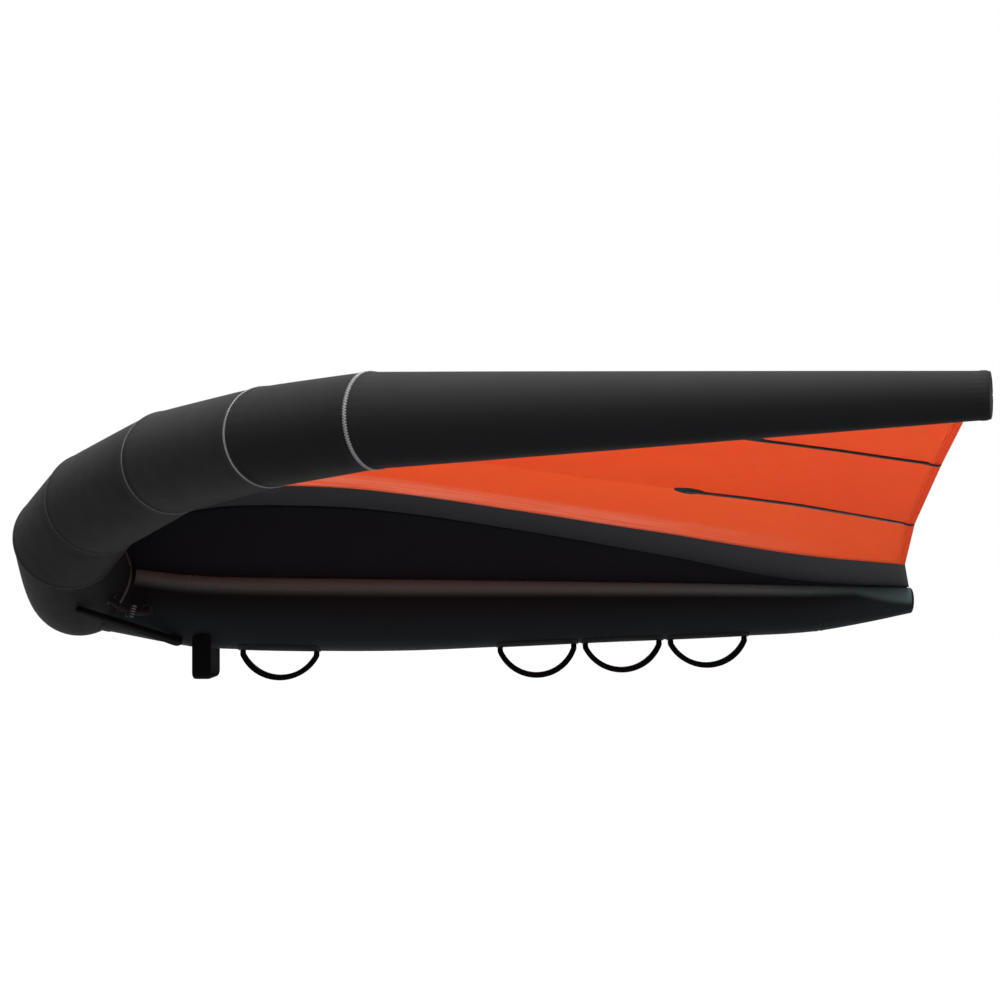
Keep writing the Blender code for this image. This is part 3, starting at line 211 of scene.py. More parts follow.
class Graph:
    """The node tree of a material or world, with short calls that add and join its nodes."""

    def __init__(self, owner: bpy.types.Material | bpy.types.World) -> None:
        """Start on the owner's own nodes."""
        owner.use_nodes = True
        self.owner = owner
        self.tree = owner.node_tree
        self.shader = self.tree.nodes.get("Principled BSDF")

    def join(self, source: object, target: object) -> None:
        """Join an output to an input, or set the input where the source is a number or a triple."""
        if isinstance(source, (int, float)):
            target.default_value = source
        elif isinstance(source, tuple):
            target.default_value = (*source, 1.0) if len(target.default_value) == 4 else source
        else:
            self.tree.links.new(source, target)

    def fill(self, node: bpy.types.Node, inputs: dict[str | int, object]) -> None:
        """Join or set several inputs of a node."""
        for key, source in inputs.items():
            self.join(source, node.inputs[key])

    def node(self, kind: str, inputs: dict[str | int, object] | None = None,
             **settings: object) -> bpy.types.Node:
        """Add a node, give it its settings and fill its inputs."""
        made = self.tree.nodes.new(kind)
        for key, value in settings.items():
            setattr(made, key, value)
        self.fill(made, inputs or {})
        return made

    def math(self, operation: str, *values: object) -> object:
        """Return the output of a Math node on sockets or numbers."""
        return self.node("ShaderNodeMath", dict(enumerate(values)), operation=operation).outputs[0]

    def product(self, first: object, *others: object) -> object:
        """Return the product of two or more sockets or numbers."""
        for other in others:
            first = self.math("MULTIPLY", first, other)
        return first

    def rest(self, value: object) -> object:
        """Return what a value leaves of one."""
        return self.math("SUBTRACT", 1.0, value)

    def off(self, value: object, middle: float) -> object:
        """Return how far a value is from a middle."""
        return self.math("ABSOLUTE", self.math("SUBTRACT", value, middle))

    def wave(self, place: object, rate: float) -> object:
        """Return the size of the sine of a place times a rate."""
        return self.math("ABSOLUTE", self.math("SINE", self.product(place, rate)))

    def metre_vector(self) -> object:
        """Return the piece's own places along its cloth, in metres, as a vector."""
        return self.node("ShaderNodeUVMap", uv_map="metres").outputs[0]

    def metre_place(self) -> tuple[object, object]:
        """Return the piece's own two places along its cloth, in metres."""
        split = self.node("ShaderNodeSeparateXYZ", {0: self.metre_vector()})
        return split.outputs[0], split.outputs[1]

    def noise(self, scale: float, detail: float = 3.0, stretch: Colour = (1.0, 1.0, 1.0),
              place: object = None) -> object:
        """Return a noise between 0 and 1 on Object coordinates, or on another place."""
        place = place or self.node("ShaderNodeTexCoord").outputs["Object"]
        mapping = self.node("ShaderNodeMapping", {0: place, "Scale": stretch})
        inputs = {"Vector": mapping.outputs[0], "Scale": scale, "Detail": detail}
        return self.node("ShaderNodeTexNoise", inputs).outputs["Fac"]

    def between(self, value: object, low: float, high: float) -> object:
        """Return 0 below low, 1 above high and a smooth step between."""
        inputs = {"Value": value, "From Min": low, "From Max": high}
        return self.node("ShaderNodeMapRange", inputs, interpolation_type="SMOOTHSTEP").outputs[0]

    def spread(self, value: object, low: float, high: float) -> object:
        """Return a 0 to 1 value spread between low and high."""
        return self.node("ShaderNodeMapRange", {"Value": value, "To Min": low, "To Max": high}).outputs[0]

    def blend(self, factor: object, first: object, second: object) -> object:
        """Return a colour between two colours or sockets."""
        return self.node("ShaderNodeMix", {0: factor, 6: first, 7: second}, data_type="RGBA").outputs[2]

    def bump(self, height: object, distance: float, strength: float, under: object = None) -> object:
        """Return a normal bumped by a height in units of distance, over another bump."""
        inputs = {"Height": height, "Distance": distance, "Strength": strength}
        if under is not None:
            inputs["Normal"] = under
        return self.node("ShaderNodeBump", inputs).outputs[0]


MADE: dict[str, bpy.types.Material] = {}


@dataclass(frozen=True)
class Finish:
    """What every finish has: a name, a colour and a material that is made once."""

    name: str
    colour: Colour

    def shade(self, by: float) -> Colour:
        """Return the finish's colour made lighter or darker by a factor."""
        return tuple(min(1.0, part * by) for part in self.colour)

    def mottled(self, graph: Graph, scale: float, amount: float) -> object:
        """Return the colour with soft darker and lighter patches."""
        return graph.blend(graph.noise(scale, 4.0), self.shade(1 - amount), self.shade(1 + amount))

    def paint(self, graph: Graph) -> None:
        """Set the nodes of a new material."""
        raise NotImplementedError

    def material(self) -> bpy.types.Material:
        """Return the finish's material, made once."""
        if self.name not in MADE:
            graph = Graph(bpy.data.materials.new(self.name))
            self.paint(graph)
            MADE[self.name] = graph.owner
        return MADE[self.name]


THREAD_DEPTHS = {Weave.PLAIN: 0.045, Weave.RIPSTOP: 0.03, Weave.RIBBED: 0.14}
THREAD_TINTS = {Weave.PLAIN: 1.12, Weave.RIPSTOP: 1.22, Weave.RIBBED: 1.12}


@dataclass(frozen=True)
class Cloth(Finish):
    """Woven cloth: mottled colour, threads that show close up, and soft creases.

    The thread pattern is the distance to the nearest thread along both metre places; the creases
    are a stretched noise on Object coordinates. A cloth may have painted shade on faces that look
    down, a painted highlight band, streaks beside its edge, lines of stitches, and light that shines through.
    """

    weave: Weave = Weave.PLAIN
    pitch: float = 0.0013
    roughness: float = 0.66
    specular: float = 0.07
    crease: float = 0.008
    mottle: float = 0.12
    # belly: painted shade, the colour's factor on faces that look down, standing in for the shade under the tube
    belly: float = 1.0
    # painted highlight: a pale band along the strut's top that stands in for light the canopy keeps off it
    painted_highlight: Colour | None = None
    painted_highlight_place: tuple[float, float] = (0.0, 0.0)
    painted_highlight_flare: tuple[float, float] = (0.0, 0.0)
    painted_highlight_fade: tuple[float, float, float] = (0.0, 1.0, 1.0)
    seams: tuple[float, ...] = ()
    seam_colour: Colour = (0.10, 0.10, 0.10)
    stitch_pitch: float = 0.0045
    edge_band: float = 0.0
    edge_colour: Colour = (0.0, 0.0, 0.0)
    edge_end: float = 1.0
    glow: float = 0.0
    glow_depth: float = 0.008
    glow_reach: Colour = (1.0, 0.6, 0.5)

    def threads(self, graph: Graph) -> object:
        """Return the height of the weave: 1 on a thread's back, 0 between threads."""
        waves = [graph.wave(place, math.pi / self.pitch) for place in graph.metre_place()]
        if self.weave is Weave.RIBBED:
            return graph.math("ADD", graph.product(waves[0], 0.65), graph.product(waves[1], 0.35))
        if self.weave is Weave.RIPSTOP:
            return graph.math("MAXIMUM", *[graph.math("POWER", graph.rest(wave), 10.0) for wave in waves])
        return graph.product(*waves)

    def base(self, graph: Graph, threads: object) -> object:
        """Return the colour of the cloth: mottled, tinted on its threads, with painted shade where it looks down.
        """
        mottled = self.mottled(graph, 5.0, self.mottle)
        tinted = graph.blend(graph.product(threads, 0.4), mottled, self.shade(THREAD_TINTS[self.weave]))
        if self.belly == 1:
            return tinted
        # Painted shade: faces whose normal points down take the colour times belly.
        normal = graph.node("ShaderNodeNewGeometry").outputs["Normal"]
        height = graph.node("ShaderNodeSeparateXYZ", {0: normal}).outputs[2]
        return graph.blend(graph.between(height, -0.45, 0.5), self.shade(self.belly), tinted)

    def with_painted_highlight(self, graph: Graph, under: object) -> object:
        """Return the colour with a painted highlight band that widens rearward and fades to its least share."""
        if not self.painted_highlight:
            return under
        along, across = graph.metre_place()
        low, high = self.painted_highlight_place
        half = (high - low) / 2
        start, slope = self.painted_highlight_flare
        flare = graph.math("MAXIMUM", graph.math("SUBTRACT", along, start), 0.0)
        off = graph.math("SUBTRACT", graph.off(across, (low + high) / 2), graph.product(flare, slope))
        # The painted highlight fades rearward, where the lamps already light the strut's top.
        fade_start, fade_end, least = self.painted_highlight_fade
        kept = graph.spread(graph.between(along, fade_start, fade_end), 1.0, least)
        inside = graph.rest(graph.between(off, half * 0.62, half * 1.10))
        return graph.blend(graph.product(inside, kept), under, self.painted_highlight)

    def edged(self, graph: Graph, under: object) -> object:
        """Return the colour with lengthwise streaks beside the cloth's edge."""
        if not self.edge_band:
            return under
        along, across = graph.metre_place()
        streaks = graph.noise(1.0, 3.0, (5.0, 120.0, 1.0), graph.metre_vector())
        near = graph.rest(graph.between(across, self.edge_band * 0.55, self.edge_band))
        ahead = graph.between(along, self.edge_end * 0.05, self.edge_end * 0.12)
        behind = graph.rest(graph.between(along, self.edge_end * 0.6, self.edge_end))
        grain = graph.spread(graph.between(streaks, 0.42, 0.56), 0.30, 1.0)
        return graph.blend(graph.product(near, ahead, behind, grain), under, self.edge_colour)

    def sewn(self, graph: Graph, under: object) -> object:
        """Return the colour with a dashed line of stitches along each seam."""
        if not self.seams:
            return under
        along, across = graph.metre_place()
        dash = graph.math("SINE", graph.product(along, 2 * math.pi / self.stitch_pitch))
        for seam in self.seams:
            line = graph.rest(graph.between(graph.off(across, seam), 0.0004, 0.0009))
            stitch = graph.product(line, graph.between(dash, -0.5, -0.1))
            under = graph.blend(stitch, under, self.seam_colour)
        return under

    def paint(self, graph: Graph) -> None:
        """Set the colour with its layers, the roughness, the light let through and both bumps."""
        threads = self.threads(graph)
        colour = self.base(graph, threads)
        for layer in (self.with_painted_highlight, self.edged, self.sewn):
            colour = layer(graph, colour)
        creases = graph.bump(graph.noise(7.0, 2.5, (1.0, 1.0, 1.4)), self.crease, 0.25)
        depth = self.pitch * THREAD_DEPTHS[self.weave]
        graph.fill(graph.shader, {
            "Base Color": colour,
            "Roughness": graph.spread(graph.noise(30.0), self.roughness - 0.07, self.roughness + 0.07),
            "Specular IOR Level": self.specular,
            "Subsurface Weight": self.glow,
            "Subsurface Scale": self.glow_depth,
            "Subsurface Radius": self.glow_reach,
            "Normal": graph.bump(threads, depth, 0.5, creases)})


@dataclass(frozen=True)
class Moulded(Finish):
    """Moulded plastic or rubber: fine grain, soft wear on its edges, plain gloss."""

    roughness: float = 0.5
    specular: float = 0.15
    worn: float = 1.5
    grain: float = 0.0006

    def paint(self, graph: Graph) -> None:
        """Set a mottled colour with pale worn edges, an uneven gloss and a fine grain."""
        pointiness = graph.node("ShaderNodeNewGeometry").outputs["Pointiness"]
        patches = graph.between(graph.noise(160.0, 4.0), 0.45, 0.7)
        worn = graph.product(graph.between(pointiness, 0.52, 0.60), patches)
        graph.fill(graph.shader, {
            "Base Color": graph.blend(worn, self.mottled(graph, 45.0, 0.15), self.shade(self.worn)),
            "Roughness": graph.spread(graph.noise(90.0), self.roughness - 0.08, self.roughness + 0.08),
            "Specular IOR Level": self.specular,
            "Normal": graph.bump(graph.noise(900.0, 2.0), self.grain, 0.4)})


@dataclass(frozen=True)
class Thread(Finish):
    """Sewing thread or cord: two plies that wind along it, matt."""

    ply: float = 0.0022

    def paint(self, graph: Graph) -> None:
        """Set darker valleys between the plies and a bump on them."""
        plies = graph.wave(graph.math("ADD", *graph.metre_place()), 2 * math.pi / self.ply)
        graph.fill(graph.shader, {
            "Base Color": graph.blend(plies, self.shade(0.7), self.colour),
            "Roughness": 0.75,
            "Specular IOR Level": 0.2,
            "Normal": graph.bump(plies, 0.0003, 0.6)})


ORANGE: Colour = (0.90, 0.090, 0.030)
ORANGE_STITCH: Colour = (0.62, 0.06, 0.02)
STRUT_RADIUS = 0.078
# The casing's belly=0.58 is painted shade: its downward faces get 0.58 of its colour.
CASING = Cloth("casing_cloth", (0.0285, 0.0285, 0.0298), specular=0.03, crease=0.0015, belly=0.58)
TIP_CLOTH = Cloth("tip_cloth", (0.019, 0.019, 0.020))
# The strut's skin has a painted highlight: a pale band along its top, widening rearward and fading at the tail.
STRUT_SKIN = Cloth("strut_skin_cloth", (0.0145, 0.0180, 0.0200), painted_highlight=(0.34, 0.50, 0.48),
                   painted_highlight_place=(STRUT_RADIUS * math.radians(124), STRUT_RADIUS * math.radians(236)),
                   painted_highlight_flare=(0.677, 0.59), painted_highlight_fade=(0.40, 0.80, 0.20))
STRUT_CLOTH = Cloth("strut_cloth", (0.0115, 0.0115, 0.0122))
BAND_CLOTH = Cloth("band_cloth", (0.022, 0.022, 0.023), Weave.RIBBED, 0.0022)
WEB_CLOTH = Cloth("web_cloth", (0.0240, 0.0255, 0.0330), Weave.RIPSTOP, 0.006, 0.7, 0.06)
STRIP_CLOTH = Cloth("strip_cloth", (0.100, 0.100, 0.104), Weave.RIPSTOP, 0.006, specular=0.06,
                    seams=(0.007, 0.011, 0.225, 0.229), seam_colour=(0.07, 0.07, 0.075))
CANOPY_CLOTH = Cloth("canopy_cloth", ORANGE, Weave.RIPSTOP, 0.006, specular=0.05, mottle=0.03,
                     edge_band=0.11, edge_colour=(0.85, 0.185, 0.135), edge_end=1.6,
                     seams=(0.004, 0.009), seam_colour=ORANGE_STITCH, glow=0.9)
HEM_CLOTH = Cloth("hem_cloth", ORANGE, specular=0.05, mottle=0.03, seams=(0.0035, 0.0115),
                  seam_colour=ORANGE_STITCH, glow=0.9, glow_depth=0.02)
POCKET_CLOTH = Cloth("pocket_cloth", (0.036, 0.058, 0.064), pitch=0.0012, specular=0.06)
PATCH_CLOTH = Cloth("patch_cloth", (0.0115, 0.0115, 0.0122), pitch=0.0016, specular=0.06)
WEBBING = Cloth("webbing", (0.0030, 0.0030, 0.0032), Weave.RIBBED, 0.0024, 0.75, 0.05, 0.0, 0.2)
LINING = Cloth("webbing_lining", (0.060, 0.060, 0.063), Weave.RIBBED, 0.0024, 0.75, 0.05, 0.0)
FILM = Moulded("bladder_film", (0.62, 0.64, 0.66), 0.32, 0.5)
PLASTIC = Moulded("moulded_plastic", (0.016, 0.016, 0.018), specular=0.12)
CLIP_PLASTIC = Moulded("clip_plastic", (0.040, 0.041, 0.045), worn=4.0)
RIB_PLASTIC = Moulded("rib_plastic", (0.26, 0.27, 0.29))
RUBBER = Moulded("hose_rubber", (0.020, 0.020, 0.022))
ROD = Moulded("batten_rod", (0.030, 0.032, 0.034), 0.35, 0.5)
BRIGHT_THREAD = Thread("bright_thread", (0.50, 0.50, 0.50))
GREY_THREAD = Thread("grey_thread", (0.26, 0.26, 0.265))
DIM_THREAD = Thread("dim_thread", (0.15, 0.16, 0.17))
DARK_THREAD = Thread("dark_thread", (0.018, 0.018, 0.02))
PIPING = Thread("piping_cord", (0.20, 0.21, 0.21), 0.004)
HOSE_FINISH = Thread("hose_finish", (0.012, 0.012, 0.013), 0.0042)
CARRIED = {"bladder": FILM, "plastic": PLASTIC, "clip": CLIP_PLASTIC, "batten": ROD, "patch": RUBBER}


# Meshes


class MeshMaker:
    """Collects surfaces worked out on grids and puts them into one mesh."""

    def __init__(self) -> None:
        """Start with no points and no faces."""
        self.points: list[Array] = []
        self.corners: list[Array] = []
        self.sizes: list[Array] = []
        self.uvs: list[Array] = []
        self.marks: list[Array] = []
        self.count = 0

    def _add(self, points: Array, faces: Array, face_uvs: Array, marks: Array) -> None:
        """Keep points, faces of equal size, their corner places and their material marks."""
        self.points.append(points)
        self.corners.append((faces + self.count).ravel())
        self.sizes.append(np.full(len(faces), faces.shape[1]))
        self.uvs.append(face_uvs.reshape(-1, 2))
        self.marks.append(marks)
        self.count += len(points)

    def grid(self, points: Array, uv: Array, wraps: bool = False, flip: bool = False,
             mark: int | Array = 0) -> None:
        """Add a surface given on a grid: cell (r, c) joins four neighbouring points.

        Args:
            points: rows x columns x 3.
            uv: rows x columns x 2 in metres, with one more column where the surface wraps.
            wraps: join the last column to the first.
            flip: turn the faces round.
            mark: which of the piece's materials, for all cells or for each column of cells.
        """
        rows, columns = points.shape[:2]
        cells = columns if wraps else columns - 1
        r, c = np.meshgrid(np.arange(rows - 1), np.arange(cells), indexing="ij")
        nxt = (c + 1) % columns
        faces = np.stack([r * columns + c, (r + 1) * columns + c, (r + 1) * columns + nxt,
                          r * columns + nxt], -1).reshape(-1, 4)
        face_uvs = np.stack([uv[r, c], uv[r + 1, c], uv[r + 1, c + 1], uv[r, c + 1]], 2).reshape(-1, 4, 2)
        if flip:
            faces, face_uvs = faces[:, ::-1], face_uvs[:, ::-1]
        self._add(points.reshape(-1, 3), faces, face_uvs, np.broadcast_to(mark, (rows - 1, cells)).ravel())

    def fan(self, ring: Array, flip: bool = False) -> None:
        """Close a ring of points with triangles from its middle, turned round where flip says so."""
        count = len(ring)
        middle = ring.mean(axis=0)
        points = np.vstack([ring, middle])
        k = np.arange(count)
        faces = np.stack([k, (k + 1) % count, np.full(count, count)], -1)
        flat = points - middle
        first = unit(flat[0])
        second = unit(np.cross(np.cross(flat[0], flat[count // 4]), first))
        plane = np.stack([flat @ first, flat @ second], -1)
        if flip:
            faces = faces[:, ::-1]
        self._add(points, faces, plane[faces], np.zeros(count, int))

    def tube(self, points: Array, uv: Array, flip: bool = True, mark: int | Array = 0) -> None:
        """Add a surface that wraps, with both ends closed.

        Args:
            points: rows x columns x 3.
            uv: rows x columns + 1 x 2 in metres.
            flip: turn the faces round; tubes that are carried along a path need it.
            mark: which of the piece's materials, for all cells or for each column of cells.
        """
        self.grid(points, uv, wraps=True, flip=flip, mark=mark)
        self.fan(points[0], flip=flip)
        self.fan(points[-1], flip=not flip)

    def dome(self, rim: Array, middle: Array, away: Array, depth: float, power: float, rows: int,
             gathers: tuple[int, float], flip: bool, mirror: float = 1.0) -> None:
        """Close a round end: rings of r sin^(2/n), raised by depth cos^(2/n) and by gathers.

        Args:
            rim: the ring's points, from its middle.
            middle: the ring's middle.
            away: the outward direction.
            depth: how far the dome stands out.
            power: the n of the formula; a higher one makes a flatter end.
            rows: rings from the rim to the middle.
            gathers: how many gathers, and their height.
            flip: turn the faces round.
            mirror: sign of Y.
        """
        turn = np.linspace(math.pi / 2, 0.0, rows)
        reach = np.sin(turn)[:, None] ** (2 / power)
        folds, height = gathers
        rise = depth * np.cos(turn)[:, None] ** (2 / power)
        rise = rise + height * 4 * reach * (1 - reach) * np.cos(folds * turns(len(rim)))
        points = (middle + rim * reach[..., None] + away * rise[..., None]) * [1.0, mirror, 1.0]
        radius = float(np.linalg.norm(rim[0]))
        uv = pairs((1 - reach[:, 0]) * radius, metres_round(len(rim), radius))
        self.grid(points[:-1], uv[:-1], wraps=True, flip=flip)
        self.fan(points[-2], flip=not flip)

    def build(self, name: str, materials: list[bpy.types.Material], merge: bool = True,
              sharp: float = 50.0) -> bpy.types.Object:
        """Make the object, smooth-shaded, at the origin.

        Args:
            name: the piece's name.
            materials: its materials in the order of the marks.
            merge: join points that coincide, so that shading runs over the joints.
            sharp: edges over this angle in degrees stay sharp.

        Returns:
            The finished object.
        """
        points = np.vstack(self.points).astype(np.float32)
        corners = np.concatenate(self.corners).astype(np.int32)
        sizes = np.concatenate(self.sizes).astype(np.int32)
        mesh = bpy.data.meshes.new(name)
        mesh.vertices.add(len(points))
        mesh.vertices.foreach_set("co", points.ravel())
        mesh.loops.add(len(corners))
        mesh.loops.foreach_set("vertex_index", corners)
        mesh.polygons.add(len(sizes))
        starts = np.concatenate([[0], np.cumsum(sizes)[:-1]]).astype(np.int32)
        mesh.polygons.foreach_set("loop_start", starts)
        mesh.polygons.foreach_set("material_index", np.concatenate(self.marks).astype(np.int32))
        layer = mesh.uv_layers.new(name="metres")
        layer.data.foreach_set("uv", np.vstack(self.uvs).astype(np.float32).ravel())
        mesh.update(calc_edges=True)
        mesh.validate()
        for item in materials:
            mesh.materials.append(item)
        mesh.shade_smooth()
        mesh.set_sharp_from_angle(angle=math.radians(sharp))
        obj = bpy.data.objects.new(name, mesh)
        bpy.context.scene.collection.objects.link(obj)
        if merge:
            obj.modifiers.new("weld", "WELD").merge_threshold = 0.00002
        return obj

    def piece(self, name: str, finishes: Finish | tuple[Finish, ...], slot: str, *nodes: str,
              body: str = "wing", merge: bool = True, sharp: float = 50.0) -> bpy.types.Object:
        """Make the object, let it ride on a body, give it its finishes and stand for its nodes.

        Args:
            name: the piece's name.
            finishes: its finish, or several in the order of the marks.
            slot: the record's material slot; not used.
            nodes: the nodes that the piece replaces.
            body: the moving body that carries it.
            merge: join points that coincide.
            sharp: edges over this angle in degrees stay sharp.

        Returns:
            The finished object.
        """
        finishes = finishes if isinstance(finishes, tuple) else (finishes,)
        obj = self.build(name, [finish.material() for finish in finishes], merge, sharp)
        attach(obj, body)
        if nodes:
            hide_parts(*nodes)
        LOG.info("%s: %d faces on %s", obj.name, len(obj.data.polygons), body)
        return obj


def thicken(obj: bpy.types.Object, thickness: float) -> None:
    """Give a sheet its thickness, half of it on each side."""
    wall = obj.modifiers.new("wall", "SOLIDIFY")
    wall.thickness = thickness
    wall.offset = 0.0


# Leading edge


@dataclass
class TubeShape:
    """The leading edge's tube: rings across a swept centre line, counted from the centre plane.

    The centre line's three coordinates are tables of shares read at the ring's number; between two
    rings the surface is the straight line between points of equal angle. Angle 0 faces rearward and
    90 degrees faces up.
    """

    root_radius: float = 0.1127
    tip_radius: float = 0.0330
    sweep: float = 1.570
    span: float = 1.592
    rise: float = 0.268
    sweep_shares: tuple[float, ...] = (0.0, 0.017, 0.083, 0.211, 0.346, 0.457, 1.0)
    span_shares: tuple[float, ...] = (0.0, 0.153, 0.286, 0.506, 0.735, 0.842, 1.0)
    rise_shares: tuple[float, ...] = (0.0, 0.343, 0.589, 0.814, 0.8915, 0.941, 1.0)
    radius_shares: tuple[float, ...] = (1.0, 0.9235, 0.8457, 0.7136, 0.5711, 0.4868, 0.0)
    nose_station: float = 0.4
    nose_power: float = 1.15

    def __post_init__(self) -> None:
        """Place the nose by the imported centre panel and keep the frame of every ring."""
        low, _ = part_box("le_panel_centre")
        self.nose = np.array([low.x + self.root_radius, 0.0, low.z + self.root_radius])
        self.numbers = np.arange(len(self.span_shares), dtype=float)
        self.seams = range(1, len(self.numbers) - 1)
        self.knots = np.array([0.0, self.nose_station, *self.numbers[1:]])
        self.knot_middle = self.centre(self.knots)
        steps = unit(np.diff(self.knot_middle, axis=0))
        self.knot_along = np.vstack([SPANWISE, unit(steps[:-1] + steps[1:]), steps[-1]])
        self.knot_radius = self.radius(self.knots)

    def centre(self, station: Array) -> Array:
        """Return the centre line: shares of sweep, span and rise; the rise starts as a power."""
        station = np.asarray(station, float)
        x, y, rise = (np.interp(station, self.numbers, shares)
                      for shares in (self.sweep_shares, self.span_shares, self.rise_shares))
        start = self.rise_shares[1] * np.clip(station, 0.0, 1.0) ** self.nose_power
        rise = np.where(station < 1, start, rise)
        return self.nose + np.stack([self.sweep * x, self.span * y, self.rise * rise], -1)

    def radius(self, station: Array) -> Array:
        """Return the radius: the tip's, and a share of what the root has more."""
        share = np.interp(station, self.numbers, self.radius_shares)
        return self.tip_radius + (self.root_radius - self.tip_radius) * share

    def direction(self, along: Array, angle: Array) -> Array:
        """Return cos(angle) rearward plus sin(angle) upward, both across the tube's direction."""
        up = unit(UP - along[..., 2:3] * along)
        rear = np.cross(along, up)
        return np.cos(angle)[..., None] * rear[..., None, :] + np.sin(angle)[..., None] * up[..., None, :]

    def spot(self, station: Array) -> tuple[Array, Array]:
        """Return the number of the ring before a station, and its share of the way to the next."""
        k = np.clip(np.searchsorted(self.knots, station, side="right") - 1, 0, len(self.knots) - 2)
        return k, (station - self.knots[k]) / (self.knots[k + 1] - self.knots[k])

    def surface(self, station: Array, angle: Array, lift: Array | float = 0.0) -> Array:
        """Return points of the right half's surface on a grid.

        Before ring 1 the rings stand across the curved centre line, whose direction turns smoothly;
        from there each point lies on the straight line between the rings before and after it.

        Args:
            station: ring numbers of the rows, rising from 0.
            angle: angles, for the columns or for every point.
            lift: distance outward, for all or for every point.

        Returns:
            rows x columns x 3.
        """
        station = np.asarray(station, float)
        angle = np.broadcast_to(angle, (len(station), np.shape(angle)[-1]))
        lift = np.broadcast_to(lift, angle.shape)

        def rings(middle: Array, radius: Array, along: Array) -> Array:
            """Return the points of rings with these middles, radii and directions."""
            return middle[:, None] + (radius[:, None] + lift)[..., None] * self.direction(along, angle)

        k, share = self.spot(station)
        share = share[:, None]
        turned = unit(self.knot_along[k] + (self.knot_along[k + 1] - self.knot_along[k]) * share)
        curved = rings(self.centre(station), self.radius(station), turned)
        before, after = (rings(self.knot_middle[ring], self.knot_radius[ring], self.knot_along[ring])
                         for ring in (k, k + 1))
        straight = before + (after - before) * share[..., None]
        return np.where((station < 1)[:, None, None], curved, straight)

    def distance(self, points: Array) -> Array:
        """Return how far points near the nose lie outside the tube: least of |p - c| - r."""
        stations = np.linspace(0.0, 1.2, 121)
        middles, radii = self.centre(stations), self.radius(stations)
        middles = np.vstack([middles, middles * [1.0, -1.0, 1.0]])
        gaps = np.linalg.norm(points[..., None, :] - middles, axis=-1) - np.concatenate([radii, radii])
        return gaps.min(axis=-1)


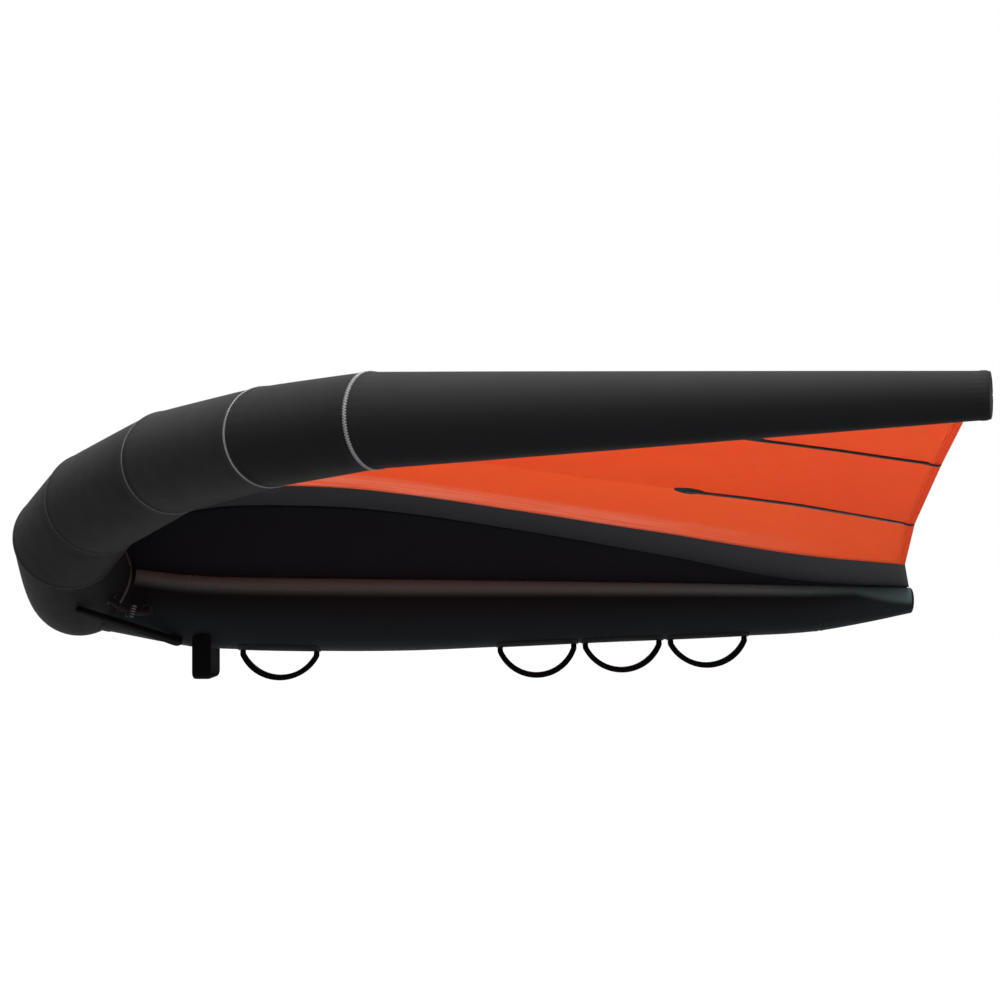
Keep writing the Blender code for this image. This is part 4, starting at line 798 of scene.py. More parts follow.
@dataclass
class LeadingEdge:
    """The sewn skin of the tube: panels that swell between their seams, end cloths and stitching."""

    shape: TubeShape
    columns: int = 144
    row_pitch: float = 0.016
    near_rows: tuple[float, ...] = (0.0, 0.0012, 0.0028, 0.006, 0.0095, 0.0115, 0.013, 0.017, 0.023, 0.031)
    first_inner_row: float = 0.042
    bulge_share: float = 0.010
    nose_bulge: float = 0.25
    seam_band: float = 0.0115
    seam_lift: float = 0.0006
    groove: float = 0.0011
    groove_width: float = 0.0016
    pucker: float = 0.0005
    puckers: int = 30
    pucker_reach: float = 0.022
    end_depth: float = 0.0035
    end_power: float = 3.4
    end_gathers: tuple[int, float] = (36, 0.0004)
    zigzag_pitch: float = 0.0042
    sewing: tuple[tuple[Thread, float, float], ...] = (
        (DIM_THREAD, 0.0018, 0.0007), (DIM_THREAD, 0.0018, 0.0007), (GREY_THREAD, 0.0026, 0.0009),
        (BRIGHT_THREAD, 0.00224, 0.0010), (BRIGHT_THREAD, 0.0032, 0.0010))

    def rows(self, first: float, last: float) -> tuple[Array, Array, Array]:
        """Return stations from first to last, closer near the seams, with distances from both ends."""
        fine = np.linspace(first, last, 800)
        middles = self.shape.centre(np.abs(fine))
        middles[:, 1] *= np.sign(fine)
        run = lengths_along(middles)
        total = run[-1]
        near, start = np.array(self.near_rows), self.first_inner_row
        inner = np.linspace(start, total - start, max(3, round((total - 2 * start) / self.row_pitch)))
        places = np.concatenate([near, inner, total - near[::-1]])
        return np.interp(places, run, fine), places, total - places

    def relief(self, station: Array, angle: Array, before: Array, after: Array) -> Array:
        """Return the skin's height over the straight tube.

        The swell is (1 - (2t - 1)^4) times a share of the radius; each seam has a doubled band, a
        groove exp(-(d/w)^2) and puckers that ring the tube and die away from it.

        Args:
            station: the rows' ring numbers.
            angle: the columns' angles.
            before: the rows' distances from the seam before them.
            after: their distances from the seam after them.

        Returns:
            Heights, rows x columns.
        """
        share = before / (before + after)
        swell = (1 - (2 * share - 1) ** 4) * self.bulge_share * self.shape.radius(np.abs(station))
        swell = swell * np.where(np.abs(station) < 1, self.nose_bulge, 1.0)
        height = np.repeat(swell[:, None], len(angle), axis=1)
        inner = 0.45 + 0.55 * (0.5 + 0.5 * np.cos(angle))
        for gap, turn in ((before, 0.0), (after, 1.3)):
            band = self.seam_lift * (1 - ramp(gap, self.seam_band, self.seam_band + 0.0015))
            groove = self.groove * bell(gap, self.groove_width)
            waves = np.cos(self.puckers * angle + turn) + 0.6 * np.cos(2.3 * self.puckers * angle + 2 * turn)
            fade = np.exp(-gap / self.pucker_reach) * ramp(gap, 0.0, 0.004)
            height += (band - groove)[:, None] + self.pucker * fade[:, None] * waves * inner
        return height

    def panel(self, name: str, first: float, last: float, side: Side, node: str) -> None:
        """Make one sewn panel between two seams, or the one across the nose."""
        angle = turns(self.columns)
        station, before, after = self.rows(first, last)
        height = self.relief(station, angle, before, after)
        points = self.shape.surface(np.abs(station), angle, height)
        points[..., 1] *= (np.where(station < 0, -1.0, 1.0) * side.value)[:, None]
        uv = pairs(before, metres_round(self.columns, float(self.shape.radius(abs(last)))))
        maker = MeshMaker()
        maker.grid(points, uv, wraps=True, flip=side is Side.LEFT)
        maker.piece(name, CASING, "casing", node)

    def end(self, side: Side) -> None:
        """Close a tip with its gathered end cloth."""
        middle = self.shape.knot_middle[-1]
        rim = self.shape.surface(self.shape.numbers[-1:], turns(self.columns))[0] - middle
        maker = MeshMaker()
        maker.dome(rim, middle, self.shape.knot_along[-1], self.end_depth, self.end_power, 22,
                   self.end_gathers, side is Side.LEFT, side.value)
        maker.piece(f"tip_end_cloth_{side.word}", TIP_CLOTH, "casing", f"le_tip_cap_{side.word}")

    def stitch(self, ring: int, side: Side, thread: Thread, half: float, radius: float) -> None:
        """Sew a ring seam: a zigzag thread whose place along the tube is a triangle wave of the angle.

        Args:
            ring: the seam's number.
            side: the half of the wing.
            thread: the thread's finish.
            half: half the zigzag's width.
            radius: the thread's radius.
        """
        zigzags = round(2 * math.pi * float(self.shape.radius(ring)) / self.zigzag_pitch)
        phase = np.linspace(0.0, zigzags, zigzags * 8, endpoint=False)
        angle = phase / zigzags * 2 * math.pi
        off = half * np.clip(1.25 * (2 * np.abs(2 * (phase % 1.0) - 1) - 1), -1.0, 1.0)
        step = 0.05
        behind, here, ahead = self.shape.centre(ring + np.array([-step, 0.0, step]))
        rates = np.where(off > 0, np.linalg.norm(ahead - here), np.linalg.norm(here - behind)) / step
        lift = self.seam_lift + radius * 0.55 - 0.3 * self.groove * bell(off, self.groove_width)
        points = self.shape.surface(ring + off / rates, angle[:, None], lift[:, None])[:, 0]
        points[:, 1] *= side.value
        maker = MeshMaker()
        maker.tube(*tube_along(points, radius, 5))
        maker.piece(f"seam_stitch_{side.word}_{ring}", thread, "casing", sharp=80.0)

    def build(self) -> None:
        """Make every panel, both end cloths and the stitching of every ring seam."""
        self.panel("tube_skin_centre", -1.0, 1.0, Side.RIGHT, "le_panel_centre")
        for side in Side:
            for ring in self.shape.seams:
                self.panel(f"tube_skin_{side.word}_{ring}", float(ring), float(ring + 1), side,
                           f"le_panel_{side.word}_{ring}")
            for ring, (thread, half, radius) in enumerate(self.sewing, start=1):
                self.stitch(ring, side, thread, half, radius)
            self.end(side)


# Strut


@dataclass
class StrutShape:
    """The strut: circles about a drooping axis; radius and droop are smooth curves through tables."""

    tube: TubeShape
    length: float = 1.793
    greatest_radius: float = STRUT_RADIUS
    droop: float = 0.0686
    share_places: tuple[float, ...] = (0.02, 0.0573, 0.1369, 0.2, 0.2659, 0.3864, 0.5069, 0.62, 0.78,
                                       0.8865, 0.9467, 0.995)
    radius_shares: tuple[float, ...] = (0.90, 0.923, 0.980, 0.995, 1.0, 0.982, 0.910, 0.831, 0.722,
                                        0.615, 0.481, 0.353)
    droop_shares: tuple[float, ...] = (0.40, 0.564, 0.870, 0.948, 0.980, 1.0, 0.956, 0.905, 0.847,
                                       0.790, 0.666, 0.541)

    def place(self, share: float) -> float:
        """Return the place along X of a share of the length."""
        return float(self.tube.nose[0] + self.length * share)

    def read(self, x: Array, shares: tuple[float, ...]) -> Array:
        """Return the smooth curve through one of the tables at a place along X."""
        return hermite((np.asarray(x, float) - self.tube.nose[0]) / self.length, self.share_places, shares)

    def radius(self, x: Array) -> Array:
        """Return the radius at a place along X."""
        return self.greatest_radius * self.read(x, self.radius_shares)

    def axis_z(self, x: Array) -> Array:
        """Return the axis's height at a place along X."""
        return self.tube.nose[2] - self.droop * self.read(x, self.droop_shares)

    def surface(self, x: Array, angle: Array, lift: Array | float = 0.0) -> Array:
        """Return points at places x and angles: y = r cos(a), z = axis + r sin(a)."""
        x, angle, lift = np.broadcast_arrays(np.asarray(x, float), angle, lift)
        reach = self.radius(x) + lift
        return np.stack([x, reach * np.cos(angle), self.axis_z(x) + reach * np.sin(angle)], -1)

    def junction(self, angle: Array, lift: float, gap: float) -> Array:
        """Return where a lengthwise line of the strut lies a gap outside the tube, by halving.

        Args:
            angle: the lines' angles.
            lift: distance over the strut's skin.
            gap: distance outside the tube's skin.

        Returns:
            The places along X.
        """
        low = np.full(len(angle), self.tube.nose[0] + 0.02)
        high = np.full(len(angle), self.tube.nose[0] + 0.24)
        for _ in range(34):
            middle = (low + high) / 2
            outside = self.tube.distance(self.surface(middle, angle, lift)) > gap
            low, high = np.where(outside, low, middle), np.where(outside, middle, high)
        return (low + high) / 2


@dataclass
class Strut:
    """The strut's sewn skin, its tail cloth, the band at the nose and the piping over that joint."""

    shape: StrutShape
    columns: int = 128
    seam_shares: tuple[float, float] = (0.1369, 0.8865)
    seam_rows: tuple[float, ...] = (-0.012, -0.006, -0.003, -0.0012, 0.0012, 0.003, 0.006, 0.012)
    tail_share: float = 0.995
    row_pitch: float = 0.014
    seam_lift: float = 0.0005
    groove: float = 0.0009
    gather: float = 0.0004
    gather_reach: float = 0.018
    end_depth: float = 0.0078
    end_power: float = 2.8
    band_width: float = 0.012
    piping_radius: float = 0.0036
    piping_lift: float = 0.0026
    piping_gap: float = 0.0010
    top_half_angle: float = math.radians(49)

    def relief(self, x: Array, angle: Array) -> Array:
        """Return the skin's height: seam grooves across and along it, and small gathers beside them."""
        height = np.zeros((len(x), len(angle)))
        for share in self.seam_shares:
            gap = np.abs(x - self.shape.place(share))
            fade = np.exp(-gap / self.gather_reach) * ramp(gap, 0.0, 0.004)
            band = self.seam_lift * (1 - ramp(gap, 0.010, 0.0115)) - self.groove * bell(gap, 0.0018)
            height += band[:, None]
            height += self.gather * fade[:, None] * np.cos(26 * angle + 5 * share)
        for seam in (self.top_half_angle, -self.top_half_angle):
            off = np.abs((angle - math.pi / 2 - seam + math.pi) % (2 * math.pi) - math.pi)
            height += -0.0007 * bell(off, 0.022)
        return height

    def skin(self, name: str, first: Array | float, last: float, node: str) -> None:
        """Make one panel of the skin from its first places to its last."""
        angle = turns(self.columns, -math.pi / 2)
        first = np.broadcast_to(first, angle.shape)
        share = np.linspace(0.0, 1.0, max(12, round((last - float(first.min())) / self.row_pitch)))
        x = first[None] + (last - first[None]) * share[:, None]
        seams = [self.shape.place(value) + np.array(self.seam_rows) for value in self.seam_shares]
        rows = np.concatenate([x.mean(axis=1), *seams])
        rows = np.unique(np.round(rows[(rows > float(first.max()) + 0.002) & (rows < last - 1e-5)], 5))
        x = np.vstack([first, np.repeat(rows[:, None], self.columns, axis=1), np.full(self.columns, last)])
        middle_x = x.mean(axis=1)
        points = self.shape.surface(x, angle[None], self.relief(middle_x, angle))
        maker = MeshMaker()
        maker.grid(points, pairs(middle_x, metres_round(self.columns, STRUT_RADIUS)), wraps=True, flip=True)
        maker.piece(name, STRUT_SKIN, "strut", node)

    def tail(self) -> None:
        """Close the tail with a cloth."""
        x = self.shape.place(self.tail_share)
        middle = np.array([x, 0.0, float(self.shape.axis_z(x))])
        rim = self.shape.surface(x, turns(self.columns)) - middle
        maker = MeshMaker()
        maker.dome(rim, middle, REARWARD, self.end_depth, self.end_power, 20, (0, 0.0), True)
        maker.piece("strut_tail_cloth", STRUT_CLOTH, "strut", "strut_tail_cap")

    def band(self) -> None:
        """Make the stitched band over the joint: a strip between two gaps from the tube's skin."""
        angle = turns(self.columns, -math.pi / 2)
        inner = self.shape.junction(angle, 0.0016, 0.0002)
        outer = self.shape.junction(angle, 0.0012, self.band_width)
        share = np.linspace(0.0, 1.0, 12)[:, None]
        lift = 0.0004 + 0.0012 * (1 - (2 * share - 1) ** 6)
        points = self.shape.surface(inner + (outer - inner) * share, angle[None], lift)
        uv = pairs(share[:, 0] * self.band_width, metres_round(self.columns, STRUT_RADIUS))
        maker = MeshMaker()
        maker.grid(points, uv, wraps=True, flip=True)
        maker.piece("strut_band", BAND_CLOTH, "collar", "strut_collar")

    def piping(self) -> None:
        """Lay the pale piping in the joint's corner on both sides, from the belly up to the web."""
        for side in Side:
            angle = np.linspace(math.radians(-8), math.radians(84), 60)
            angle = angle if side is Side.RIGHT else math.pi - angle
            x = self.shape.junction(angle, self.piping_lift, self.piping_gap)
            path = self.shape.surface(x, angle, self.piping_lift)
            rise = np.linspace(0.06, 1.0, 14)[:, None]
            top = path[-1] + rise * UP * 0.034
            start = abs(path[-1][1])
            top[:, 1] = side.value * (start + (0.0022 - start) * rise[:, 0])
            top[:, 0] -= self.shape.tube.distance(top) - self.piping_gap
            maker = MeshMaker()
            maker.tube(*tube_along(np.vstack([path, top]), self.piping_radius, 8))
            maker.piece(f"joint_piping_{side.word}", PIPING, "collar")

    def build(self) -> None:
        """Make the three panels of the skin, the tail cloth, the band and the piping."""
        front = self.shape.junction(turns(self.columns, -math.pi / 2), 0.0, -0.004)
        ends = [front, *(self.shape.place(share) for share in (*self.seam_shares, self.tail_share))]
        for k, word in enumerate(("front", "main", "tail")):
            self.skin(f"strut_skin_{word}", ends[k], ends[k + 1], f"strut_panel_{word}")
        self.tail()
        self.band()
        self.piping()


# Canopy


@dataclass
class CanopyShape:
    """The canopy's middle surface over one half, and the trailing edge.

    A point lies on the chord from the tube's seam to the trailing edge, lifted by the camber: a smooth
    curve of the share along the chord, times the chord, less full towards the tip.
    """

    tube: TubeShape
    strut: StrutShape
    root_angle: float = math.radians(60)
    tip_angle: float = math.radians(30)
    seat_gap: float = 0.0007
    strip_half: float = 0.118
    end_share: float = 0.9642
    trail_margin: float = 0.0094
    trail_sweep: float = 0.2276
    trail_rise: float = 0.296
    trail_clearance: float = 0.0015
    trail_spans: tuple[float, ...] = (0.0, 0.0741, 0.2513, 0.6595, 0.8794, 0.9642)
    sweep_shares: tuple[float, ...] = (0.0, 0.1415, 0.305, 0.699, 0.903, 1.0)
    rise_shares: tuple[float, ...] = (0.0, 0.161, 0.430, 0.712, 0.852, 1.0)
    camber_places: tuple[float, ...] = (0.0, 0.06, 0.125, 0.241, 0.31, 0.37, 0.51, 0.692, 0.874, 1.0)
    camber_shares: tuple[float, ...] = (0.0, 0.026, 0.0437, 0.0545, 0.0560, 0.0535, 0.0414, 0.0208, -0.001,
                                        0.0)
    full_places: tuple[float, ...] = (0.0, 0.62, 0.73, 0.80, 0.86, 0.93, 1.0)
    full_shares: tuple[float, ...] = (0.0, 0.0, 0.50, 0.88, 1.0, 0.60, 0.0)
    full_spans: tuple[float, ...] = (0.0, 0.0054, 0.0150, 0.0095, 0.0070, 0.0060)
    tip_fullness: float = 0.55
    hem_width: float = 0.014

    def __post_init__(self) -> None:
        """Keep the seam's points along the tube, to be read by span."""
        last = self.tube.numbers[-1]
        station = np.linspace(0.0, last, 900)
        angle = self.root_angle + (self.tip_angle - self.root_angle) * station / last
        self.seam = self.tube.surface(station, angle[:, None], self.seat_gap)[:, 0]

    def front(self, y: Array) -> Array:
        """Return the seam's point at a span."""
        return np.stack([np.interp(y, self.seam[:, 1], self.seam[:, k]) for k in range(3)], -1)

    def rear(self, y: Array) -> Array:
        """Return the trailing edge's point: straight runs between the battens."""
        share = y / self.tube.span
        root_x = self.strut.place(1.0) - self.trail_margin
        root_z = float(self.strut.axis_z(root_x) + self.strut.radius(root_x)) + self.trail_clearance
        x = root_x - self.trail_sweep * np.interp(share, self.trail_spans, self.sweep_shares)
        z = root_z + self.trail_rise * np.interp(share, self.trail_spans, self.rise_shares)
        return np.stack([x, y + 0 * share, z], -1)

    def chord(self, y: Array) -> Array:
        """Return the chord's length at a span."""
        return np.linalg.norm(self.rear(y) - self.front(y), axis=-1)

    def spans(self, count: int) -> Array:
        """Return spans from beside the centre strip to the cloth's end near the tip."""
        return np.linspace(self.strip_half + 0.0003, self.tube.span * self.end_share, count)

    def surface(self, y: Array, share: Array, drop: Array | float = 0.0) -> Array:
        """Return points at spans y and shares of the chord, lowered by drop.

        Args:
            y: spans, broadcast against the shares.
            share: shares along the chord.
            drop: distance under the middle surface.

        Returns:
            The points, with the broadcast shape and a last axis of three.
        """
        y, share, drop = np.broadcast_arrays(np.asarray(y, float), share, drop)
        front, rear = self.front(y), self.rear(y)
        chord = np.linalg.norm(rear - front, axis=-1)
        fullness = 1 - (1 - self.tip_fullness) * y / self.tube.span
        camber = fullness * hermite(share, self.camber_places, self.camber_shares)
        rear_full = np.interp(y / self.tube.span, self.trail_spans, self.full_spans)
        camber = camber + rear_full * hermite(share, self.full_places, self.full_shares)
        points = front + (rear - front) * share[..., None]
        points[..., 2] += chord * camber - drop
        return points

    def flutter(self, y: Array, share: Array) -> Array:
        """Return small waves of the cloth: pulls that fan from the seam, and a soft rear flutter."""
        pulls = 0.0008 * np.exp(-share / 0.06) * np.cos(2 * math.pi * y / 0.085 + 3 * share)
        rear = 0.0014 * np.clip(share - 0.45, 0.0, 1.0) ** 2 * np.sin(2 * math.pi * y / 0.31 + 4 * share)
        return pulls + rear


@dataclass
class Canopy:
    """The canopy's cloth: the dark centre strip, the two main panels and their hems."""

    shape: CanopyShape
    cloth: float = 0.0007
    span_rows: int = 96
    strip_rows: int = 41
    chord_columns: int = 110
    hem_rows: int = 150
    hem_columns: int = 20
    hem_depth: float = 0.0012

    def sheet(self, name: str, finish: Cloth, slot: str, node: str, points: Array, uv: Array, flip: bool) -> None:
        """Args:
            name: the piece's name.
            finish: its cloth.
            slot: the record's material slot.
            node: the node that it replaces.
            points: rows x columns x 3.
            uv: rows x columns x 2 in metres.
            flip: turn the faces round.
        """
        maker = MeshMaker()
        maker.grid(points, uv, flip=flip)
        obj = maker.piece(name, finish, slot, node, merge=False)
        thicken(obj, self.cloth)

    def cloth_grid(self, y: Array, share: Array) -> tuple[Array, Array, Array]:
        """Return the fluttering surface, its places across from one column, and its places along."""
        points = self.shape.surface(np.abs(y), share, -self.shape.flutter(np.abs(y), share))
        points[..., 1] = y
        return points, share * self.shape.chord(np.abs(y))

    def half(self, side: Side) -> None:
        """Make one main panel, from the strip's edge to the tip."""
        y = self.shape.spans(self.span_rows)[:, None]
        share = np.linspace(0.0, 1.0, self.chord_columns)[None] ** 1.15
        share = share * (1 - 0.6 * self.shape.hem_width / self.shape.chord(y))
        points, along = self.cloth_grid(y, share)
        edge = lengths_along(points[:, self.chord_columns // 2])
        across = np.repeat(edge[:, None], self.chord_columns, axis=1)
        points[..., 1] *= side.value
        self.sheet(f"canopy_cloth_{side.word}", CANOPY_CLOTH, "canopy", f"canopy_{side.word}", points,
                   np.stack([along, across], -1), side is Side.RIGHT)

    def strip(self) -> None:
        """Make the dark strip over the web, one sheet with a soft fold in the centre plane."""
        y = np.linspace(-self.shape.strip_half, self.shape.strip_half, self.strip_rows)[:, None]
        share = np.linspace(0.0, 1.0, self.chord_columns)[None] ** 1.15
        points, along = self.cloth_grid(y, share)
        edge = lengths_along(points[:, 50] * [0.0, 1.0, 1.0])
        across = np.repeat(edge[:, None], self.chord_columns, axis=1)
        self.sheet("centre_strip_cloth", STRIP_CLOTH, "strip", "canopy_centre_strip", points,
                   np.stack([along, across], -1), True)

    def hem(self, side: Side) -> None:
        """Make the folded hem: a flat oval carried along the trailing edge."""
        y = self.shape.spans(self.hem_rows)
        half = self.shape.hem_width / 2
        middle = self.shape.surface(y, 1 - half / self.shape.chord(y))
        rear = self.shape.rear(y)
        chordwise = unit(rear - middle)
        normal = unit(np.cross(chordwise, unit(np.gradient(rear, axis=0))))
        turn = turns(self.hem_columns)
        flat = half * blunt(np.cos(turn), 0.6)
        deep = self.hem_depth * blunt(np.sin(turn), 0.8)
        points = (middle[:, None] + flat[None, :, None] * chordwise[:, None]
                  + deep[None, :, None] * normal[:, None])
        points[..., 1] *= side.value
        maker = MeshMaker()
        maker.tube(points, pairs(lengths_along(rear), np.append(flat, flat[0]) + half), side is Side.LEFT)
        maker.piece(f"trailing_hem_cloth_{side.word}", HEM_CLOTH, "hem", f"trailing_hem_{side.word}")

    def build(self) -> None:
        """Make the strip, both main panels and both hems."""
        self.strip()
        for side in Side:
            self.half(side)
            self.hem(side)


@dataclass
class Web:
    """The black web between strut and canopy, a sheet in the centre plane."""

    canopy: CanopyShape
    rows: int = 26
    columns: int = 160
    cloth: float = 0.0008
    ripple: float = 0.0012
    ripple_pitch: float = 0.24
    seat: float = 0.002
    top_drop: float = 0.0002
    front_inset: float = 0.001
    low_reach: float = 0.108
    high_reach: float = 0.055

    def outline(self) -> tuple[Array, Array, Array]:
        """Return the lower and upper curves, from the front to where they meet, and the front curve."""
        strut, tube = self.canopy.strut, self.canopy.tube
        share = np.linspace(0.0, 1.0, 400)
        top = self.canopy.surface(0.0, share, self.top_drop - self.canopy.flutter(0.0, share))[:, [0, 2]]
        belly_x = np.linspace(tube.nose[0] + 0.08, strut.place(0.9945), 400)
        belly = np.stack([belly_x, strut.axis_z(belly_x) + strut.radius(belly_x) - self.seat], -1)
        room = np.interp(top[:, 0], belly[:, 0], belly[:, 1])
        top = top[(top[:, 1] > room + 0.0005) & (top[:, 0] < belly[-1, 0])]
        low_z = float(np.interp(tube.nose[0] + self.low_reach, belly[:, 0], belly[:, 1]))
        high_z = float(np.interp(tube.nose[0] + self.high_reach, top[:, 0], top[:, 1]))
        front_z = np.linspace(low_z, high_z, self.rows)
        reach = tube.root_radius - self.front_inset
        front_x = tube.nose[0] + np.sqrt(np.maximum(reach**2 - (front_z - tube.nose[2]) ** 2, 0.0))
        front = np.stack([front_x, front_z], -1)
        curves = []
        for start, line in ((front[0], belly), (front[-1], top)):
            x = start[0] + (top[-1, 0] - start[0]) * np.linspace(0.0, 1.0, self.columns) ** 1.1
            curve = np.stack([x, np.interp(x, line[:, 0], line[:, 1])], -1)
            curve[0] = start
            curves.append(curve)
        return curves[0], curves[1], front

    def build(self) -> None:
        """Make the web as a patch between four curves, with slight pulls across it.

        A point is the blend of the lower and upper curves plus what the front curve departs from the
        straight line between their first points.
        """
        low, high, front = self.outline()
        across = np.linspace(0.0, 1.0, self.rows)[None, :, None]
        column = np.linspace(0.0, 1.0, self.columns)[:, None, None]
        blend = low[:, None] * (1 - across) + high[:, None] * across
        bend = front[None] - (low[0] * (1 - across) + high[0] * across)
        flat = blend + bend * (1 - column) ** 3
        depth = np.sin(math.pi * across[0, :, 0])[None] * self.ripple
        wave = depth * np.cos(2 * math.pi * flat[..., 0] / self.ripple_pitch + 2 * flat[..., 1])
        points = np.stack([flat[..., 0], wave, flat[..., 1]], -1)
        maker = MeshMaker()
        maker.grid(points, flat - flat.min(axis=(0, 1)))
        obj = maker.piece("web_cloth", WEB_CLOTH, "web", "centre_web", merge=False)
        thicken(obj, self.cloth)


@dataclass
class Battens:
    """The batten pockets under the canopy: a spindle-shaped patch in front, then a narrow sleeve."""

    canopy: CanopyShape
    span_shares: tuple[float, float] = (0.2513, 0.6595)
    lengths: tuple[float, float] = (0.455, 0.330)
    labels: tuple[str, str] = ("inner", "outer")
    width: float = 0.013
    rear_width: float = 0.0125
    patch_width: float = 0.044
    patch_length: float = 0.062
    front_margin: float = 0.016
    rear_margin: float = 0.0012
    hem_drop: float = 0.0013
    near: float = 0.0009
    deep: float = 0.0042
    rod_half: float = 0.0064
    cloth: float = 0.0008

    def half_width(self, place: Array) -> Array:
        """Return half the width at a distance from the front: a spindle, then the sleeve."""
        share = np.clip(place / self.patch_length, 0.0, 1.0)
        spindle = np.sin(math.pi * share) ** 0.8 * (self.patch_width - self.width * 0.4) / 2
        width = self.width + (self.rear_width - self.width) * ramp(place, 0.06, 0.30)
        sleeve = width / 2 * ramp(place, 0.0, self.patch_length * 0.9)
        return np.maximum(spindle, sleeve) * 0.98 + 0.004 * (1 - share)

    def pocket(self, y: float, length: float, label: str, side: Side) -> None:
        """Make one pocket: across it the drop is a flat-topped bell, along it a spindle and a sleeve.

        Args:
            y: the batten's span.
            length: the batten's length.
            label: which batten.
            side: the half of the wing.
        """
        reach = length + self.front_margin
        place = np.concatenate([np.linspace(0.0, self.patch_length, 26)[:-1],
                                np.linspace(self.patch_length, reach - self.rear_margin, 70)])
        share = (1 - (reach - place) / float(self.canopy.chord(np.array(y))))[:, None]
        across = np.linspace(-1.0, 1.0, 15)[None] * self.half_width(place)[:, None]
        rod = np.exp(-((across / self.rod_half) ** 8))
        filled = ramp(place, 0.010, 0.030) * (1 - ramp(place, reach - 0.006, reach - 0.001))
        under_hem = self.hem_drop * ramp(place, reach - 0.026, reach - 0.014)
        depth = self.near + (self.deep - self.near) * rod * filled[:, None] + under_hem[:, None]
        points = self.canopy.surface(y + across, share, depth)
        points[..., 1] *= side.value
        off = self.half_width(place)[:, None] - np.abs(across)
        maker = MeshMaker()
        maker.grid(points, np.stack([np.repeat(place[:, None], 15, axis=1), off], -1),
                   flip=side is Side.LEFT)
        obj = maker.piece(f"batten_sleeve_{side.word}_{label}", POCKET_CLOTH, "pocket",
                          f"batten_pocket_{side.word}_{label}", merge=False)
        thicken(obj, self.cloth)

    def build(self) -> None:
        """Make the four pockets."""
        for side in Side:
            for share, length, label in zip(self.span_shares, self.lengths, self.labels):
                self.pocket(self.canopy.tube.span * share, length, label, side)


# Handles and straps


